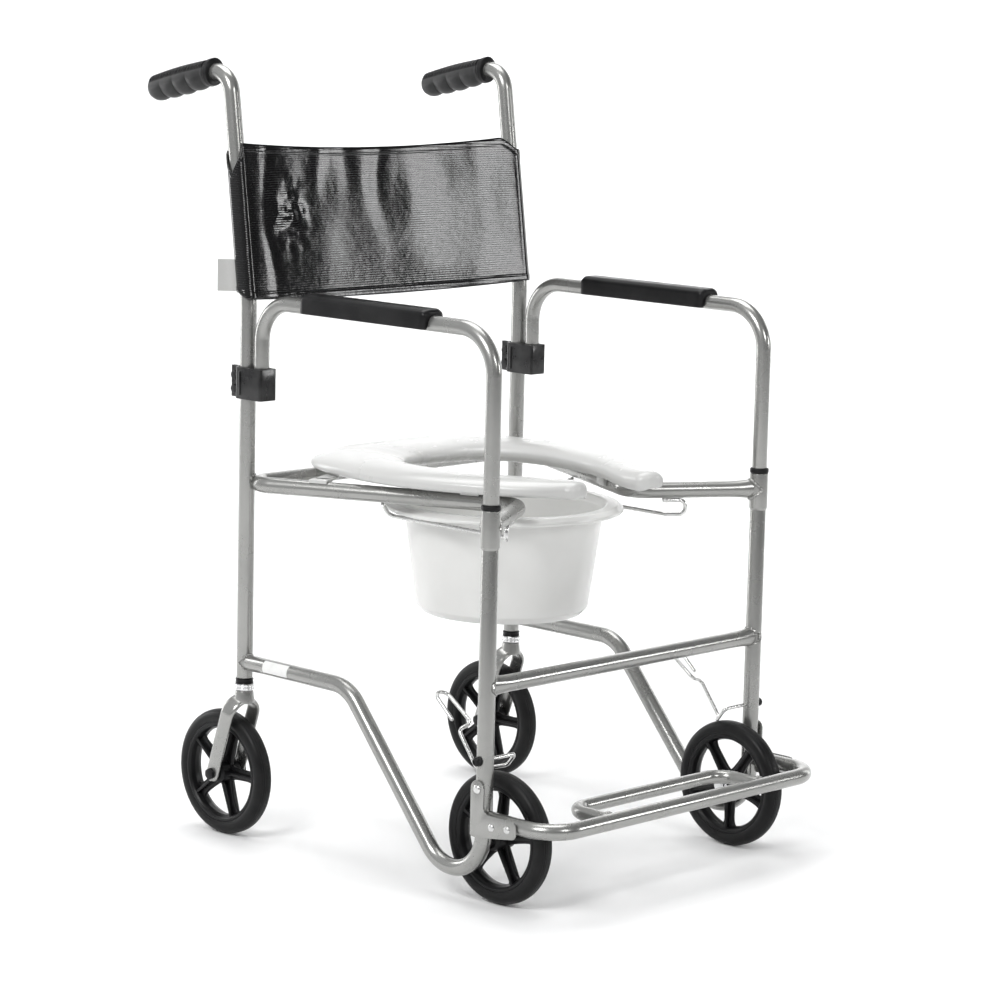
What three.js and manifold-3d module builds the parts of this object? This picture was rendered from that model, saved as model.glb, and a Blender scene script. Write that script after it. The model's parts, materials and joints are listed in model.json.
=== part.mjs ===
// A wheeled commode chair: a welded steel tube frame on two fixed front wheels and two rear swivel
// casters, with lift-out armrests, wire wheel brakes, a fold-up footrest, a horseshoe seat and a
// round bucket that slides out forwards under it.
// Millimetres, +Z up. The sitter faces -Y, and +X is the sitter's left. Z = 0 is the floor.

import * as THREE from 'three';
import { mergeVertices } from 'three/addons/utils/BufferGeometryUtils.js';
import Module from 'manifold-3d';

const wasm = await Module();
wasm.setup();

// Frame layout
const halfWidth = 225; // middle plane to the centre of each upright
const rearY = 164; // rear uprights
const frontY = -237; // front uprights
const tubeRadius = 9.5;
const centring = 4.1; // moves the whole chair, so that y = 0 halves its overall depth
const weldGap = 0.3; // between solids that touch
const fitGap = 0.4; // between solids that run or slide on each other

// Rear uprights and push handles
const leanAngle = 8; // degrees that the back leans rearwards
const leanStartZ = 637;
const uprightBottomZ = 194;
const handleCorner = { y: 201.7, z: 906.5 };
const handleDroop = 12.5; // degrees below level
const handleBendRadius = 27;
const handleEndY = 334;
const gripStartY = 231;
const gripLength = 112;
const gripRadius = 14.5;

// Side tubes: front upright, hairpin behind the front wheel, lower rail
const socketTopZ = 446;
const socketStepZ = 402;
const socketRadius = 10.8;
const socketDepth = 60;
const hairpinRadius = 48;
const hairpinCornerZ = -43;
const kneeY = -15; // where the slope turns level
const lowerRailZ = 213;
const kneeRadius = 50;
const crossbarZ = 250;

// Seat frame
const seatFrameZ = 427;
const rearCrossY = 157;
const seatCornerX = 233;
const seatNose = { x: 91, y: -154 };
const seatStubSlope = 0.6;
const seatCornerRadius = 20;
const seatNoseRadius = 30;

// Armrests
const armTubeRadius = 8.8;
const armRearY = 140;
const armTopZ = 641;
const armRearRadius = 46;
const armFrontRadius = 50;
const armBottomZ = 528; // rear leg end, inside its bracket
const padHalfWidth = 16;
const padBottomZ = 636;
const padTopZ = 657;

// Arm brackets
const bracket = { front: 128, back: 175, halfWidth: 13, bottom: 526, top: 563, wall: 2 };
const bracketFlange = { end: 190, halfThickness: 2.2 };
const bracketBoltZ = [536, 552];
const bracketBoltY = 182;

// Wheels
const wheelRadius = 75;
const tyreInner = 60;
const frontWheelX = 196;
const frontWheelY = -234;
const axleRadius = 5;
const hubRadius = 13;
const hubWidth = 32;
const spokeCount = 5;
const casterTrail = 32;

// Caster forks
const forkCrownZ = 172;
const forkInnerHalf = 17.5;
const forkWall = 4;
const forkDepth = 22;
const stemRadius = 6;
const stemTopZ = 250;
const headset = { ringBottom: 179.5, ringTop: 187.5, sealTop: 193.6 };

// Footrest
const footPivotZ = 137;
const footTubeZ = 103;
const footBarY = -341;
const footTubeStartY = -247.2;
const footBendRadius = 38;
const loopRearY = -274;
const loopHalfWidth = 128;
const loopTubeRadius = 8;
const loopBendRadius = 26;
const footTubeRadius = 9.2;
const plateThickness = 2;
const plateOffset = 9.9; // from a tube's centre to the near face of its plate
const rivetRadius = 3;

// Brakes
const brakeWireRadius = 2.2;
const brakePivotZ = 168;
const brakeCap = { radius: 5, inner: 234.9, outer: 239.5 };

// Bucket and its guides
const bucketY = -37;
const bucketRimRadius = 141;
const bucketMouthRadius = 117;
const bucketFootRadius = 102;
const bucketRimZ = 400.5;
const bucketFloorZ = 279;
const guideX = 133;
const guideZ = 397.5;
const guideRadius = 2.5;

// Seat and back
const seatBottomZ = 439;
const seatThickness = 20;
const seatRound = 5;
const seatClips = [
  { place: 'rear', y: 72, tab: 42 },
  { place: 'front', y: -98, tab: 13 },
];
const clipBottomZ = 425;
const backBottomZ = 640;
const backHeight = 181;
const backSleeveRadius = 15;

const tubeSides = 12;
const wireSides = 6;
const ringSides = 16;
const wheelSides = 28;

const finish = {
  paintedSteel: { color: 0xb9b9b4, roughness: 0.35, metalness: 0.7 },
  blackSteel: { color: 0x3a3a3a, roughness: 0.45, metalness: 0.6 },
  chrome: { color: 0xd9d9d9, roughness: 0.12, metalness: 1 },
  blackPlastic: { color: 0x161616, roughness: 0.45, metalness: 0 },
  tyreRubber: { color: 0x232323, roughness: 0.7, metalness: 0 },
  whitePlastic: { color: 0xeeeeee, roughness: 0.3, metalness: 0 },
  blackVinyl: { color: 0x111111, roughness: 0.25, metalness: 0 },
};

// The two arm pads are clipped on at slightly different places
const sides = [
  { label: 'right', x: -1, pad: { rear: 61, front: -143 } },
  { label: 'left', x: 1, pad: { rear: 47, front: -152 } },
];

const radians = THREE.MathUtils.degToRad;

// Lines straight runs up with arcs at the corners. Its parameter counts stations, not distance, so
// that a long straight costs no more triangles than a short one.
class BentPath extends THREE.Curve {
  constructor(corners, radii, stepDegrees = 20) {
    super();
    this.points = [corners[0]];
    this.tangents = [direction(corners[0], corners[1])];
    for (let i = 1; i < corners.length - 1; i += 1) {
      this.addBend(corners[i - 1], corners[i], corners[i + 1], radii[i - 1], stepDegrees);
    }
    this.points.push(corners.at(-1));
    this.tangents.push(direction(corners.at(-2), corners.at(-1)));
    this.steps = this.points.length - 1;
  }

  addBend(before, corner, after, radius, stepDegrees) {
    const arriving = direction(before, corner);
    const leaving = direction(corner, after);
    const turn = arriving.angleTo(leaving);
    const axis = arriving.clone().cross(leaving).normalize();
    const start = corner.clone().addScaledVector(arriving, -radius * Math.tan(turn / 2));
    const toCentre = axis.clone().cross(arriving);
    const centre = start.clone().addScaledVector(toCentre, radius);
    const arcSteps = Math.max(2, Math.ceil(turn / radians(stepDegrees)));
    for (let k = 0; k <= arcSteps; k += 1) {
      const angle = (turn * k) / arcSteps;
      const spoke = toCentre.clone().multiplyScalar(-radius).applyAxisAngle(axis, angle);
      this.points.push(centre.clone().add(spoke));
      this.tangents.push(arriving.clone().applyAxisAngle(axis, angle));
    }
  }

  blend(list, t, target) {
    const place = t * this.steps;
    const i = Math.min(Math.floor(place), this.steps - 1);
    return target.lerpVectors(list[i], list[i + 1], place - i);
  }

  getPoint(t, target = new THREE.Vector3()) {
    return this.blend(this.points, t, target);
  }

  getPointAt(u, target = new THREE.Vector3()) {
    return this.blend(this.points, u, target);
  }

  getTangentAt(u, target = new THREE.Vector3()) {
    return this.blend(this.tangents, u, target).normalize();
  }
}

function direction(from, to) {
  return to.clone().sub(from).normalize();
}

function point(x, y, z) {
  return new THREE.Vector3(x, y, z);
}

function roundShape(radius, count) {
  const corners = [];
  for (let k = 0; k < count; k += 1) {
    const angle = (2 * Math.PI * k) / count;
    corners.push(new THREE.Vector2(radius * Math.cos(angle), radius * Math.sin(angle)));
  }
  return new THREE.Shape(corners);
}

// A round bar or tube swept along straight runs and bends
function bentBar(corners, bendRadii, radius, count = tubeSides) {
  const path = new BentPath(corners, bendRadii);
  return new THREE.ExtrudeGeometry(roundShape(radius, count), { steps: path.steps, extrudePath: path });
}

// A straight round bar between two points
function bar(from, to, radius, count = tubeSides) {
  const geometry = new THREE.CylinderGeometry(radius, radius, from.distanceTo(to), count);
  const turn = new THREE.Quaternion().setFromUnitVectors(point(0, 1, 0), direction(from, to));
  geometry.applyQuaternion(turn);
  return geometry.translate(...from.clone().add(to).multiplyScalar(0.5));
}

function box(low, high) {
  const size = high.clone().sub(low);
  const geometry = new THREE.BoxGeometry(size.x, size.y, size.z);
  return geometry.translate(...low.clone().add(high).multiplyScalar(0.5));
}

// A turned body from [radius, along] pairs that start and end on the axis, or else form a ring
function turned(profile, count) {
  const outline = profile.map(([radius, along]) => new THREE.Vector2(radius, along));
  if (profile[0][0] > 0) {
    outline.push(outline[0].clone());
  }
  return new THREE.LatheGeometry(outline, count);
}

function turnedAboutX(profile, count) {
  return turned(profile, count).rotateZ(-Math.PI / 2);
}

function turnedAboutZ(profile, count) {
  return turned(profile, count).rotateX(Math.PI / 2);
}

function solid(geometry) {
  const bare = geometry.clone();
  bare.deleteAttribute('normal');
  bare.deleteAttribute('uv');
  const merged = mergeVertices(bare, 1e-3);
  const vertProperties = new Float32Array(merged.attributes.position.array);
  const triVerts = new Uint32Array(merged.index.array);
  return new wasm.Manifold(new wasm.Mesh({ numProp: 3, vertProperties, triVerts }));
}

function toGeometry(shape) {
  const { vertProperties, triVerts } = shape.getMesh();
  const geometry = new THREE.BufferGeometry();
  geometry.setAttribute('position', new THREE.BufferAttribute(vertProperties, 3));
  geometry.setIndex(new THREE.BufferAttribute(triVerts, 1));
  return geometry;
}

function joined(...geometries) {
  return geometries.map(solid).reduce((whole, piece) => whole.add(piece));
}

function part(name, shape, material) {
  const geometry = shape.isBufferGeometry ? shape : toGeometry(shape);
  const mesh = new THREE.Mesh(geometry, new THREE.MeshStandardMaterial(finish[material]));
  mesh.name = name;
  return mesh;
}

// Cutter for whatever is welded to the side of an upright
function uprightCutter(x, y, radius = tubeRadius) {
  return solid(bar(point(x, y, 0), point(x, y, socketTopZ), radius + weldGap, ringSides));
}

function leanY(z) {
  return rearY + (z - leanStartZ) * Math.tan(radians(leanAngle));
}

function rearUpright({ label, x }) {
  const endZ = handleCorner.z - (handleEndY - handleCorner.y) * Math.tan(radians(handleDroop));
  const corners = [
    point(0, rearY, uprightBottomZ),
    point(0, rearY, leanStartZ),
    point(0, handleCorner.y, handleCorner.z),
    point(0, handleEndY, endZ),
  ];
  const tube = solid(bentBar(corners, [120, handleBendRadius], tubeRadius));
  const stemHole = bar(point(0, rearY, 0), point(0, rearY, stemTopZ + 2), stemRadius + fitGap);
  const mesh = part(`rear_upright_${label}`, tube.subtract(solid(stemHole)), 'paintedSteel');
  mesh.position.x = x * halfWidth;
  return mesh;
}

// The bend line of a side tube, as a bar of any radius
function sideTubeBar(x, radius) {
  const corners = [
    point(x, frontY, socketTopZ),
    point(x, frontY, hairpinCornerZ),
    point(x, kneeY, lowerRailZ),
    point(x, rearY, lowerRailZ),
  ];
  return bentBar(corners, [hairpinRadius, kneeRadius], radius);
}

function sideTube({ label, x }) {
  const tube = joined(
    sideTubeBar(0, tubeRadius),
    bar(point(0, frontY, socketStepZ), point(0, frontY, socketTopZ), socketRadius),
  );
  const bore = bar(
    point(0, frontY, socketTopZ - socketDepth),
    point(0, frontY, socketTopZ + 1),
    armTubeRadius + fitGap,
  );
  const rivetHole = bar(point(-20, frontY, footPivotZ), point(20, frontY, footPivotZ), rivetRadius + fitGap);
  const wireHole = bar(
    point(-20, frontY, brakePivotZ),
    point(20, frontY, brakePivotZ),
    brakeWireRadius + fitGap,
  );
  const shape = tube
    .subtract(solid(bore))
    .subtract(solid(rivetHole))
    .subtract(solid(wireHole))
    .subtract(uprightCutter(0, rearY));
  const mesh = part(`side_tube_${label}`, shape, 'paintedSteel');
  mesh.position.x = x * halfWidth;
  return mesh;
}

function seatFrameTube() {
  const stubY = seatNose.y - seatStubSlope * (halfWidth - seatNose.x);
  const half = [
    point(halfWidth, stubY, seatFrameZ),
    point(seatNose.x, seatNose.y, seatFrameZ),
    point(seatCornerX, rearCrossY, seatFrameZ),
  ];
  const mirrored = half.map((corner) => corner.clone().setX(-corner.x)).reverse();
  const radii = [seatNoseRadius, seatCornerRadius, seatCornerRadius, seatNoseRadius];
  let shape = solid(bentBar([...half, ...mirrored], radii, tubeRadius));
  for (const { x } of sides) {
    shape = shape.subtract(uprightCutter(x * halfWidth, frontY, socketRadius));
    shape = shape.subtract(uprightCutter(x * halfWidth, rearY));
  }
  return part('seat_frame_tube', shape, 'paintedSteel');
}

function frontCrossbar() {
  let shape = solid(
    bar(point(-halfWidth, frontY, crossbarZ), point(halfWidth, frontY, crossbarZ), tubeRadius),
  );
  for (const { x } of sides) {
    shape = shape.subtract(uprightCutter(x * halfWidth, frontY));
  }
  return part('front_crossbar', shape, 'paintedSteel');
}

// The wire hangs from the seat frame's slope, runs forwards level and turns out and up to the nose
function guideWire({ label, x }) {
  const hangZ = seatFrameZ - tubeRadius - guideRadius - weldGap;
  const corners = [
    point(160, 2, hangZ),
    point(guideX, 18, guideZ),
    point(guideX, -172, guideZ),
    point(150, -188, guideZ),
    point(151, -188.5, hangZ),
    point(126, -174, hangZ),
  ].map((corner) => corner.setX(x * corner.x));
  const wire = bentBar(corners, [6, 8, 8, 8], guideRadius, wireSides);
  return part(`guide_wire_${label}`, wire, 'chrome');
}

function pushGrip({ label, x }) {
  const profile = [
    [0, gripLength - 4],
    [tubeRadius + fitGap, gripLength - 4],
    [tubeRadius + fitGap, 0],
    [gripRadius, 0],
    [gripRadius - 0.5, 12],
    [gripRadius + 1.5, 45],
    [gripRadius + 1.5, 90],
    [gripRadius - 1.5, 108],
    [gripRadius - 7, gripLength],
    [0, gripLength],
  ];
  const mesh = part(`push_grip_${label}`, turned(profile, ringSides), 'blackPlastic');
  mesh.rotation.x = -radians(handleDroop);
  const startZ = handleCorner.z - (gripStartY - handleCorner.y) * Math.tan(radians(handleDroop));
  mesh.position.set(x * halfWidth, gripStartY, startZ);
  return mesh;
}

function backUpholstery() {
  const panel = joined(
    box(point(-halfWidth, -3, 0), point(halfWidth, 3, backHeight)),
    bar(point(-halfWidth, 0, 0), point(-halfWidth, 0, backHeight), backSleeveRadius),
    bar(point(halfWidth, 0, 0), point(halfWidth, 0, backHeight), backSleeveRadius),
  );
  const bores = joined(
    bar(point(-halfWidth, 0, -5), point(-halfWidth, 0, backHeight + 5), tubeRadius + 1),
    bar(point(halfWidth, 0, -5), point(halfWidth, 0, backHeight + 5), tubeRadius + 1),
  );
  const mesh = part('back_upholstery', panel.subtract(bores), 'blackVinyl');
  mesh.rotation.x = -radians(leanAngle);
  mesh.position.set(0, leanY(backBottomZ), backBottomZ);
  return mesh;
}

// A folded strap round the rear upright and the armrest leg, pinched together behind
function armBracket({ label, x }) {
  const { front, back, halfWidth: half, bottom, top, wall } = bracket;
  const shell = joined(
    box(point(-half, front, bottom), point(half, back, top)),
    box(
      point(-bracketFlange.halfThickness, back - 1, bottom),
      point(bracketFlange.halfThickness, bracketFlange.end, top),
    ),
  );
  const legSlot = box(
    point(wall - half, front + wall, bottom - 1),
    point(half - wall, rearY - tubeRadius - 2, top + 1),
  );
  const uprightHole = bar(point(0, rearY, bottom - 1), point(0, rearY, top + 1), tubeRadius + fitGap);
  let shape = shell.subtract(solid(legSlot)).subtract(solid(uprightHole));
  for (const z of bracketBoltZ) {
    shape = shape.subtract(
      solid(bar(point(-half, bracketBoltY, z), point(half, bracketBoltY, z), 2.5 + weldGap, 12)),
    );
  }
  const mesh = part(`arm_bracket_${label}`, shape, 'blackSteel');
  mesh.position.x = x * halfWidth;
  return mesh;
}

// A bolt along X with a hexagonal head and nut, each clear of the faces it clamps
function hexBolt(name, shank, grip, head, material) {
  const reach = grip / 2 + weldGap;
  const shape = joined(
    bar(point(-reach - head.height, 0, 0), point(reach + head.height, 0, 0), shank, 12),
    bar(point(-reach - head.height, 0, 0), point(-reach, 0, 0), head.radius, 6),
    bar(point(reach, 0, 0), point(reach + head.height, 0, 0), head.radius, 6),
  );
  return part(name, shape, material);
}

function bracketBolts({ label, x }) {
  return bracketBoltZ.map((z, index) => {
    const name = `bracket_bolt_${index ? 'upper' : 'lower'}_${label}`;
    const grip = 2 * bracketFlange.halfThickness;
    const mesh = hexBolt(name, 2.5, grip, { radius: 5, height: 4 }, 'chrome');
    mesh.position.set(x * halfWidth, bracketBoltY, z);
    return mesh;
  });
}

function ring(name, inner, outer, bottom, top, material) {
  const profile = [
    [inner, bottom],
    [outer, bottom],
    [outer, top],
    [inner, top],
  ];
  return part(name, turnedAboutZ(profile, ringSides), material);
}

function armrest({ label, x, pad }) {
  const group = new THREE.Group();
  group.position.x = x * halfWidth;
  const corners = [
    point(0, armRearY, armBottomZ),
    point(0, armRearY, armTopZ),
    point(0, frontY, armTopZ),
    point(0, frontY, socketTopZ - socketDepth + 8),
  ];
  const tube = bentBar(corners, [armRearRadius, armFrontRadius], armTubeRadius);
  group.add(part(`arm_tube_${label}`, tube, 'paintedSteel'));
  group.add(part(`arm_pad_${label}`, armPad(pad), 'blackPlastic'));
  return group;
}

// An inverted channel over the tube, with a domed top
function armPad({ rear, front }) {
  const section = new THREE.Shape();
  const shoulderZ = padTopZ - 8;
  section.moveTo(-padHalfWidth, padBottomZ);
  section.lineTo(padHalfWidth, padBottomZ);
  section.lineTo(padHalfWidth, shoulderZ);
  section.bezierCurveTo(padHalfWidth, padTopZ, 8, padTopZ, 0, padTopZ);
  section.bezierCurveTo(-8, padTopZ, -padHalfWidth, padTopZ, -padHalfWidth, shoulderZ);
  section.closePath();
  const depth = rear - front;
  const blank = new THREE.ExtrudeGeometry(section, { depth, bevelEnabled: false, curveSegments: 5 });
  blank.rotateX(Math.PI / 2).translate(0, rear, 0);
  const reach = armTubeRadius + weldGap;
  const bore = bar(point(0, rear + 1, armTopZ), point(0, front - 1, armTopZ), reach);
  const mouth = box(point(-reach, front - 1, padBottomZ - 1), point(reach, rear + 1, armTopZ));
  return solid(blank).subtract(solid(bore)).subtract(solid(mouth));
}

function wheelRim(name) {
  const half = hubWidth / 2;
  const band = [
    [52, -9],
    [tyreInner - weldGap, -10],
    [tyreInner - weldGap, 10],
    [52, 9],
  ];
  const hub = [
    [axleRadius + fitGap, -half],
    [hubRadius, -half],
    [hubRadius, half],
    [axleRadius + fitGap, half],
  ];
  let shape = solid(turnedAboutX(band, wheelSides)).add(solid(turnedAboutX(hub, ringSides)));
  for (let k = 0; k < spokeCount; k += 1) {
    const spoke = box(point(-8, -5, hubRadius - 2), point(8, 5, 54));
    spoke.rotateX((2 * Math.PI * k) / spokeCount);
    shape = shape.add(solid(spoke));
  }
  return part(name, shape, 'blackPlastic');
}

function wheelTyre(name) {
  const profile = [
    [tyreInner, -10],
    [67, -12],
    [72.5, -8.5],
    [wheelRadius, -3],
    [wheelRadius, 3],
    [72.5, 8.5],
    [67, 12],
    [tyreInner, 10],
  ];
  return part(name, turnedAboutX(profile, wheelSides), 'tyreRubber');
}

function frontWheel({ label, x }) {
  const group = new THREE.Group();
  group.position.set(x * frontWheelX, frontWheelY, wheelRadius);
  group.add(wheelRim(`front_rim_${label}`));
  group.add(wheelTyre(`front_tyre_${label}`));
  return group;
}

// A stub axle welded to the inner side of the front upright, with a nut on its free end
function frontAxle({ label, x }) {
  const nearHub = frontWheelX + hubWidth / 2 + fitGap;
  const farHub = frontWheelX - hubWidth / 2 - fitGap;
  const at = (across) => point(x * across, frontWheelY, wheelRadius);
  const shape = joined(
    bar(at(farHub - 6), at(halfWidth), axleRadius, 16),
    bar(at(farHub - 5), at(farHub), 8.5, 6),
    bar(at(nearHub), at(halfWidth), 6.4, 16),
  ).subtract(solid(sideTubeBar(x * halfWidth, tubeRadius + weldGap)));
  return part(`front_axle_${label}`, shape, 'chrome');
}

// A bent strap down both sides of the wheel, with the swivel stem standing on its crown
function casterFork(name) {
  const outer = forkInnerHalf + forkWall;
  const drop = Math.hypot(casterTrail, forkCrownZ - wheelRadius);
  const strap = new THREE.Shape();
  strap.moveTo(-outer, -drop - forkDepth / 2);
  strap.lineTo(-forkInnerHalf, -drop - forkDepth / 2);
  strap.lineTo(-forkInnerHalf, -12);
  strap.quadraticCurveTo(-forkInnerHalf, -forkWall, 8 - forkInnerHalf, -forkWall);
  strap.lineTo(forkInnerHalf - 8, -forkWall);
  strap.quadraticCurveTo(forkInnerHalf, -forkWall, forkInnerHalf, -12);
  strap.lineTo(forkInnerHalf, -drop - forkDepth / 2);
  strap.lineTo(outer, -drop - forkDepth / 2);
  strap.lineTo(outer, -10);
  strap.quadraticCurveTo(outer, 0, outer - 10, 0);
  strap.lineTo(10 - outer, 0);
  strap.quadraticCurveTo(-outer, 0, -outer, -10);
  strap.closePath();
  const blank = new THREE.ExtrudeGeometry(strap, { depth: forkDepth, bevelEnabled: false, curveSegments: 4 });
  blank.translate(0, 0, -forkDepth / 2).rotateX(Math.PI / 2);
  blank.rotateX(Math.atan2(casterTrail, forkCrownZ - wheelRadius));
  blank.translate(0, 0, forkCrownZ);
  const axleHole = bar(
    point(-outer - 1, casterTrail, wheelRadius),
    point(outer + 1, casterTrail, wheelRadius),
    axleRadius + fitGap,
    16,
  );
  const stem = bar(point(0, 0, forkCrownZ - 3), point(0, 0, stemTopZ), stemRadius);
  const boss = bar(point(0, 0, forkCrownZ - 3), point(0, 0, 179), 11);
  return part(name, solid(blank).add(solid(stem)).add(solid(boss)).subtract(solid(axleHole)), 'paintedSteel');
}

function caster({ label, x }) {
  const group = new THREE.Group();
  group.position.set(x * halfWidth, rearY, 0);
  group.add(casterFork(`caster_fork_${label}`));
  const wheel = new THREE.Group();
  wheel.position.set(0, casterTrail, wheelRadius);
  wheel.add(wheelRim(`caster_rim_${label}`));
  wheel.add(wheelTyre(`caster_tyre_${label}`));
  const grip = 2 * (forkInnerHalf + forkWall);
  wheel.add(hexBolt(`caster_axle_${label}`, axleRadius, grip, { radius: 7.5, height: 5 }, 'blackPlastic'));
  group.add(wheel);
  return group;
}

// One bent wire: it turns in the front upright, loops across the tyre and ends in a cranked foot
// lever with a returned end.
function brakeWire({ label, x }) {
  const corners = [
    point(brakeCap.outer - 1, frontY, brakePivotZ),
    point(177, frontY, brakePivotZ),
    point(178, frontY + 12, 153),
    point(205, frontY + 32, 148.4),
    point(205, frontY + 62, 188),
    point(187, frontY + 60, 194),
    point(187, frontY + 101, 222),
    point(205, frontY + 103, 224),
    point(205, frontY + 72, 197),
  ].map((corner) => corner.setX(x * corner.x));
  const wire = bentBar(corners, [5, 5, 7, 6, 6, 8, 8], brakeWireRadius, wireSides);
  return part(`brake_wire_${label}`, wire, 'chrome');
}

// The push-on cap that keeps the wire in the upright
function brakeCapOn({ label, x }) {
  const bore = brakeWireRadius + weldGap;
  const profile = [
    [0, brakeCap.outer],
    [0, brakeCap.outer - weldGap],
    [bore, brakeCap.outer - weldGap],
    [bore, brakeCap.inner],
    [brakeCap.radius, brakeCap.inner],
    [brakeCap.radius, brakeCap.outer + 0.5],
    [brakeCap.radius - 1.5, brakeCap.outer + 2],
    [0, brakeCap.outer + 2],
  ].slice(1);
  const mesh = part(`brake_cap_${label}`, turnedAboutX(profile, 12), 'blackPlastic');
  mesh.position.set(0, frontY, brakePivotZ);
  mesh.rotation.z = x < 0 ? Math.PI : 0;
  return mesh;
}

// An L of sheet steel: its upright leg swings on the front upright, its foot holds the footrest tube
function footPlate(name, across) {
  const low = footTubeZ - 12;
  const high = footTubeZ + 11;
  const toe = frontY - 60;
  const round = 6;
  const outline = new THREE.Shape();
  outline.moveTo(frontY + 10, low - 8);
  outline.lineTo(frontY + 10, footPivotZ);
  outline.absarc(frontY, footPivotZ, 10, 0, Math.PI, false);
  outline.lineTo(frontY - 10, high + round);
  outline.quadraticCurveTo(frontY - 10, high, frontY - 10 - round, high);
  outline.lineTo(toe + round, high);
  outline.quadraticCurveTo(toe, high, toe, high - round);
  outline.lineTo(toe, low + round);
  outline.quadraticCurveTo(toe, low, toe + round, low);
  outline.lineTo(frontY, low - 9);
  outline.closePath();
  const hole = new THREE.Path();
  hole.absarc(frontY, footPivotZ, rivetRadius + fitGap, 0, 2 * Math.PI, false);
  outline.holes.push(hole);
  const plate = new THREE.ExtrudeGeometry(outline, {
    depth: plateThickness,
    bevelEnabled: false,
    curveSegments: 6,
  });
  plate.rotateX(Math.PI / 2).rotateZ(Math.PI / 2);
  const mesh = part(name, plate, 'paintedSteel');
  mesh.position.x = across;
  return mesh;
}

// A rivet through the front upright, with a domed head on the tube and another outside the plate
function footRivet({ label, x }) {
  const inner = -tubeRadius - weldGap;
  const outer = plateOffset + plateThickness + weldGap;
  const profile = [
    [0, inner - 2.5],
    [4, inner - 2],
    [5.5, inner],
    [rivetRadius, inner],
    [rivetRadius, outer],
    [5.5, outer],
    [4, outer + 2],
    [0, outer + 2.5],
  ];
  const mesh = part(`footrest_rivet_${label}`, turnedAboutX(profile, 12), 'chrome');
  mesh.position.set(x * halfWidth, frontY, footPivotZ);
  mesh.rotation.z = x < 0 ? Math.PI : 0;
  return mesh;
}

function footrest() {
  const group = new THREE.Group();
  const leg = halfWidth;
  const corners = [
    point(-leg, footTubeStartY, footTubeZ),
    point(-leg, footBarY, footTubeZ),
    point(leg, footBarY, footTubeZ),
    point(leg, footTubeStartY, footTubeZ),
  ];
  const tube = bentBar(corners, [footBendRadius, footBendRadius], footTubeRadius);
  group.add(part('footrest_tube', tube, 'paintedSteel'));
  const loopCorners = [
    point(-loopHalfWidth, footBarY, footTubeZ),
    point(-loopHalfWidth, loopRearY, footTubeZ),
    point(loopHalfWidth, loopRearY, footTubeZ),
    point(loopHalfWidth, footBarY, footTubeZ),
  ];
  const barCutter = bar(
    point(-leg, footBarY, footTubeZ),
    point(leg, footBarY, footTubeZ),
    footTubeRadius + weldGap,
    ringSides,
  );
  const loop = solid(bentBar(loopCorners, [loopBendRadius, loopBendRadius], loopTubeRadius));
  group.add(part('footrest_loop', loop.subtract(solid(barCutter)), 'paintedSteel'));
  for (const { label, x } of sides) {
    const across = x * (halfWidth + plateOffset) - (x < 0 ? plateThickness : 0);
    group.add(footPlate(`footrest_plate_${label}`, across));
  }
  return group;
}

// A round tub with a wide flat rim that rides on the guide wires
function bucket() {
  const wall = 2.5;
  const rimTop = bucketRimZ + 9;
  const profile = [
    [0, bucketFloorZ],
    [bucketFootRadius - 8, bucketFloorZ],
    [bucketFootRadius, bucketFloorZ + 8],
    [bucketMouthRadius, bucketRimZ],
    [bucketRimRadius - 1, bucketRimZ],
    [bucketRimRadius, bucketRimZ + 3],
    [bucketRimRadius - 5, rimTop],
    [bucketMouthRadius + 2, rimTop],
    [bucketMouthRadius - wall, bucketRimZ + 2],
    [bucketFootRadius - wall, bucketFloorZ + 9],
    [bucketFootRadius - 9, bucketFloorZ + wall],
    [0, bucketFloorZ + wall],
  ];
  const mesh = part('bucket', turnedAboutZ(profile, wheelSides), 'whitePlastic');
  mesh.position.y = bucketY;
  return mesh;
}

// A horseshoe, open to the front, with a straight raised back edge
function seat() {
  const half = new THREE.Path();
  half.moveTo(0, 176);
  half.lineTo(77, 176);
  half.splineThru(
    [[100, 165], [140, 146], [162, 112], [176, 50], [178, 0], [172, -50], [150, -105], [120, -160]]
      .concat([[92, -195], [76, -215], [60, -224], [48, -214], [46, -195], [56, -165], [80, -115]])
      .concat([[94, -70], [98, -20], [92, 25], [72, 60], [40, 76], [0, 80]])
      .map(([across, along]) => new THREE.Vector2(across, along)),
  );
  const right = half.getPoints(1);
  const left = right.slice(1, -1).map((corner) => new THREE.Vector2(-corner.x, corner.y)).reverse();
  const board = new THREE.ExtrudeGeometry(new THREE.Shape([...right, ...left]), {
    depth: seatThickness - 2 * seatRound,
    bevelThickness: seatRound,
    bevelSize: seatRound,
    bevelOffset: -seatRound,
    bevelSegments: 2,
  });
  board.translate(0, 0, seatBottomZ + seatRound);
  return part('seat', board, 'whitePlastic');
}

// A saddle that drops over the seat frame's sloping tube, with a tab inwards under the seat
function seatClip({ label, x }, { place, y, tab }) {
  const slope = (seatCornerX - seatNose.x) / (rearCrossY - seatNose.y);
  const reach = tubeRadius + fitGap;
  const top = seatBottomZ - weldGap;
  const saddle = joined(
    box(point(-13, -11, clipBottomZ), point(13, 11, top)),
    box(point(Math.min(-x * tab, 0), -11, top - 3), point(Math.max(-x * tab, 0), 11, top)),
  );
  const groove = bar(point(0, -12, seatFrameZ), point(0, 12, seatFrameZ), reach);
  const mouth = box(point(-reach, -12, clipBottomZ - 1), point(reach, 12, seatFrameZ));
  const shape = saddle.subtract(solid(groove)).subtract(solid(mouth));
  const mesh = part(`seat_clip_${place}_${label}`, shape, 'whitePlastic');
  mesh.position.set(x * (seatNose.x + (y - seatNose.y) * slope), y, 0);
  mesh.rotation.z = -x * Math.atan(slope);
  return mesh;
}

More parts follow.
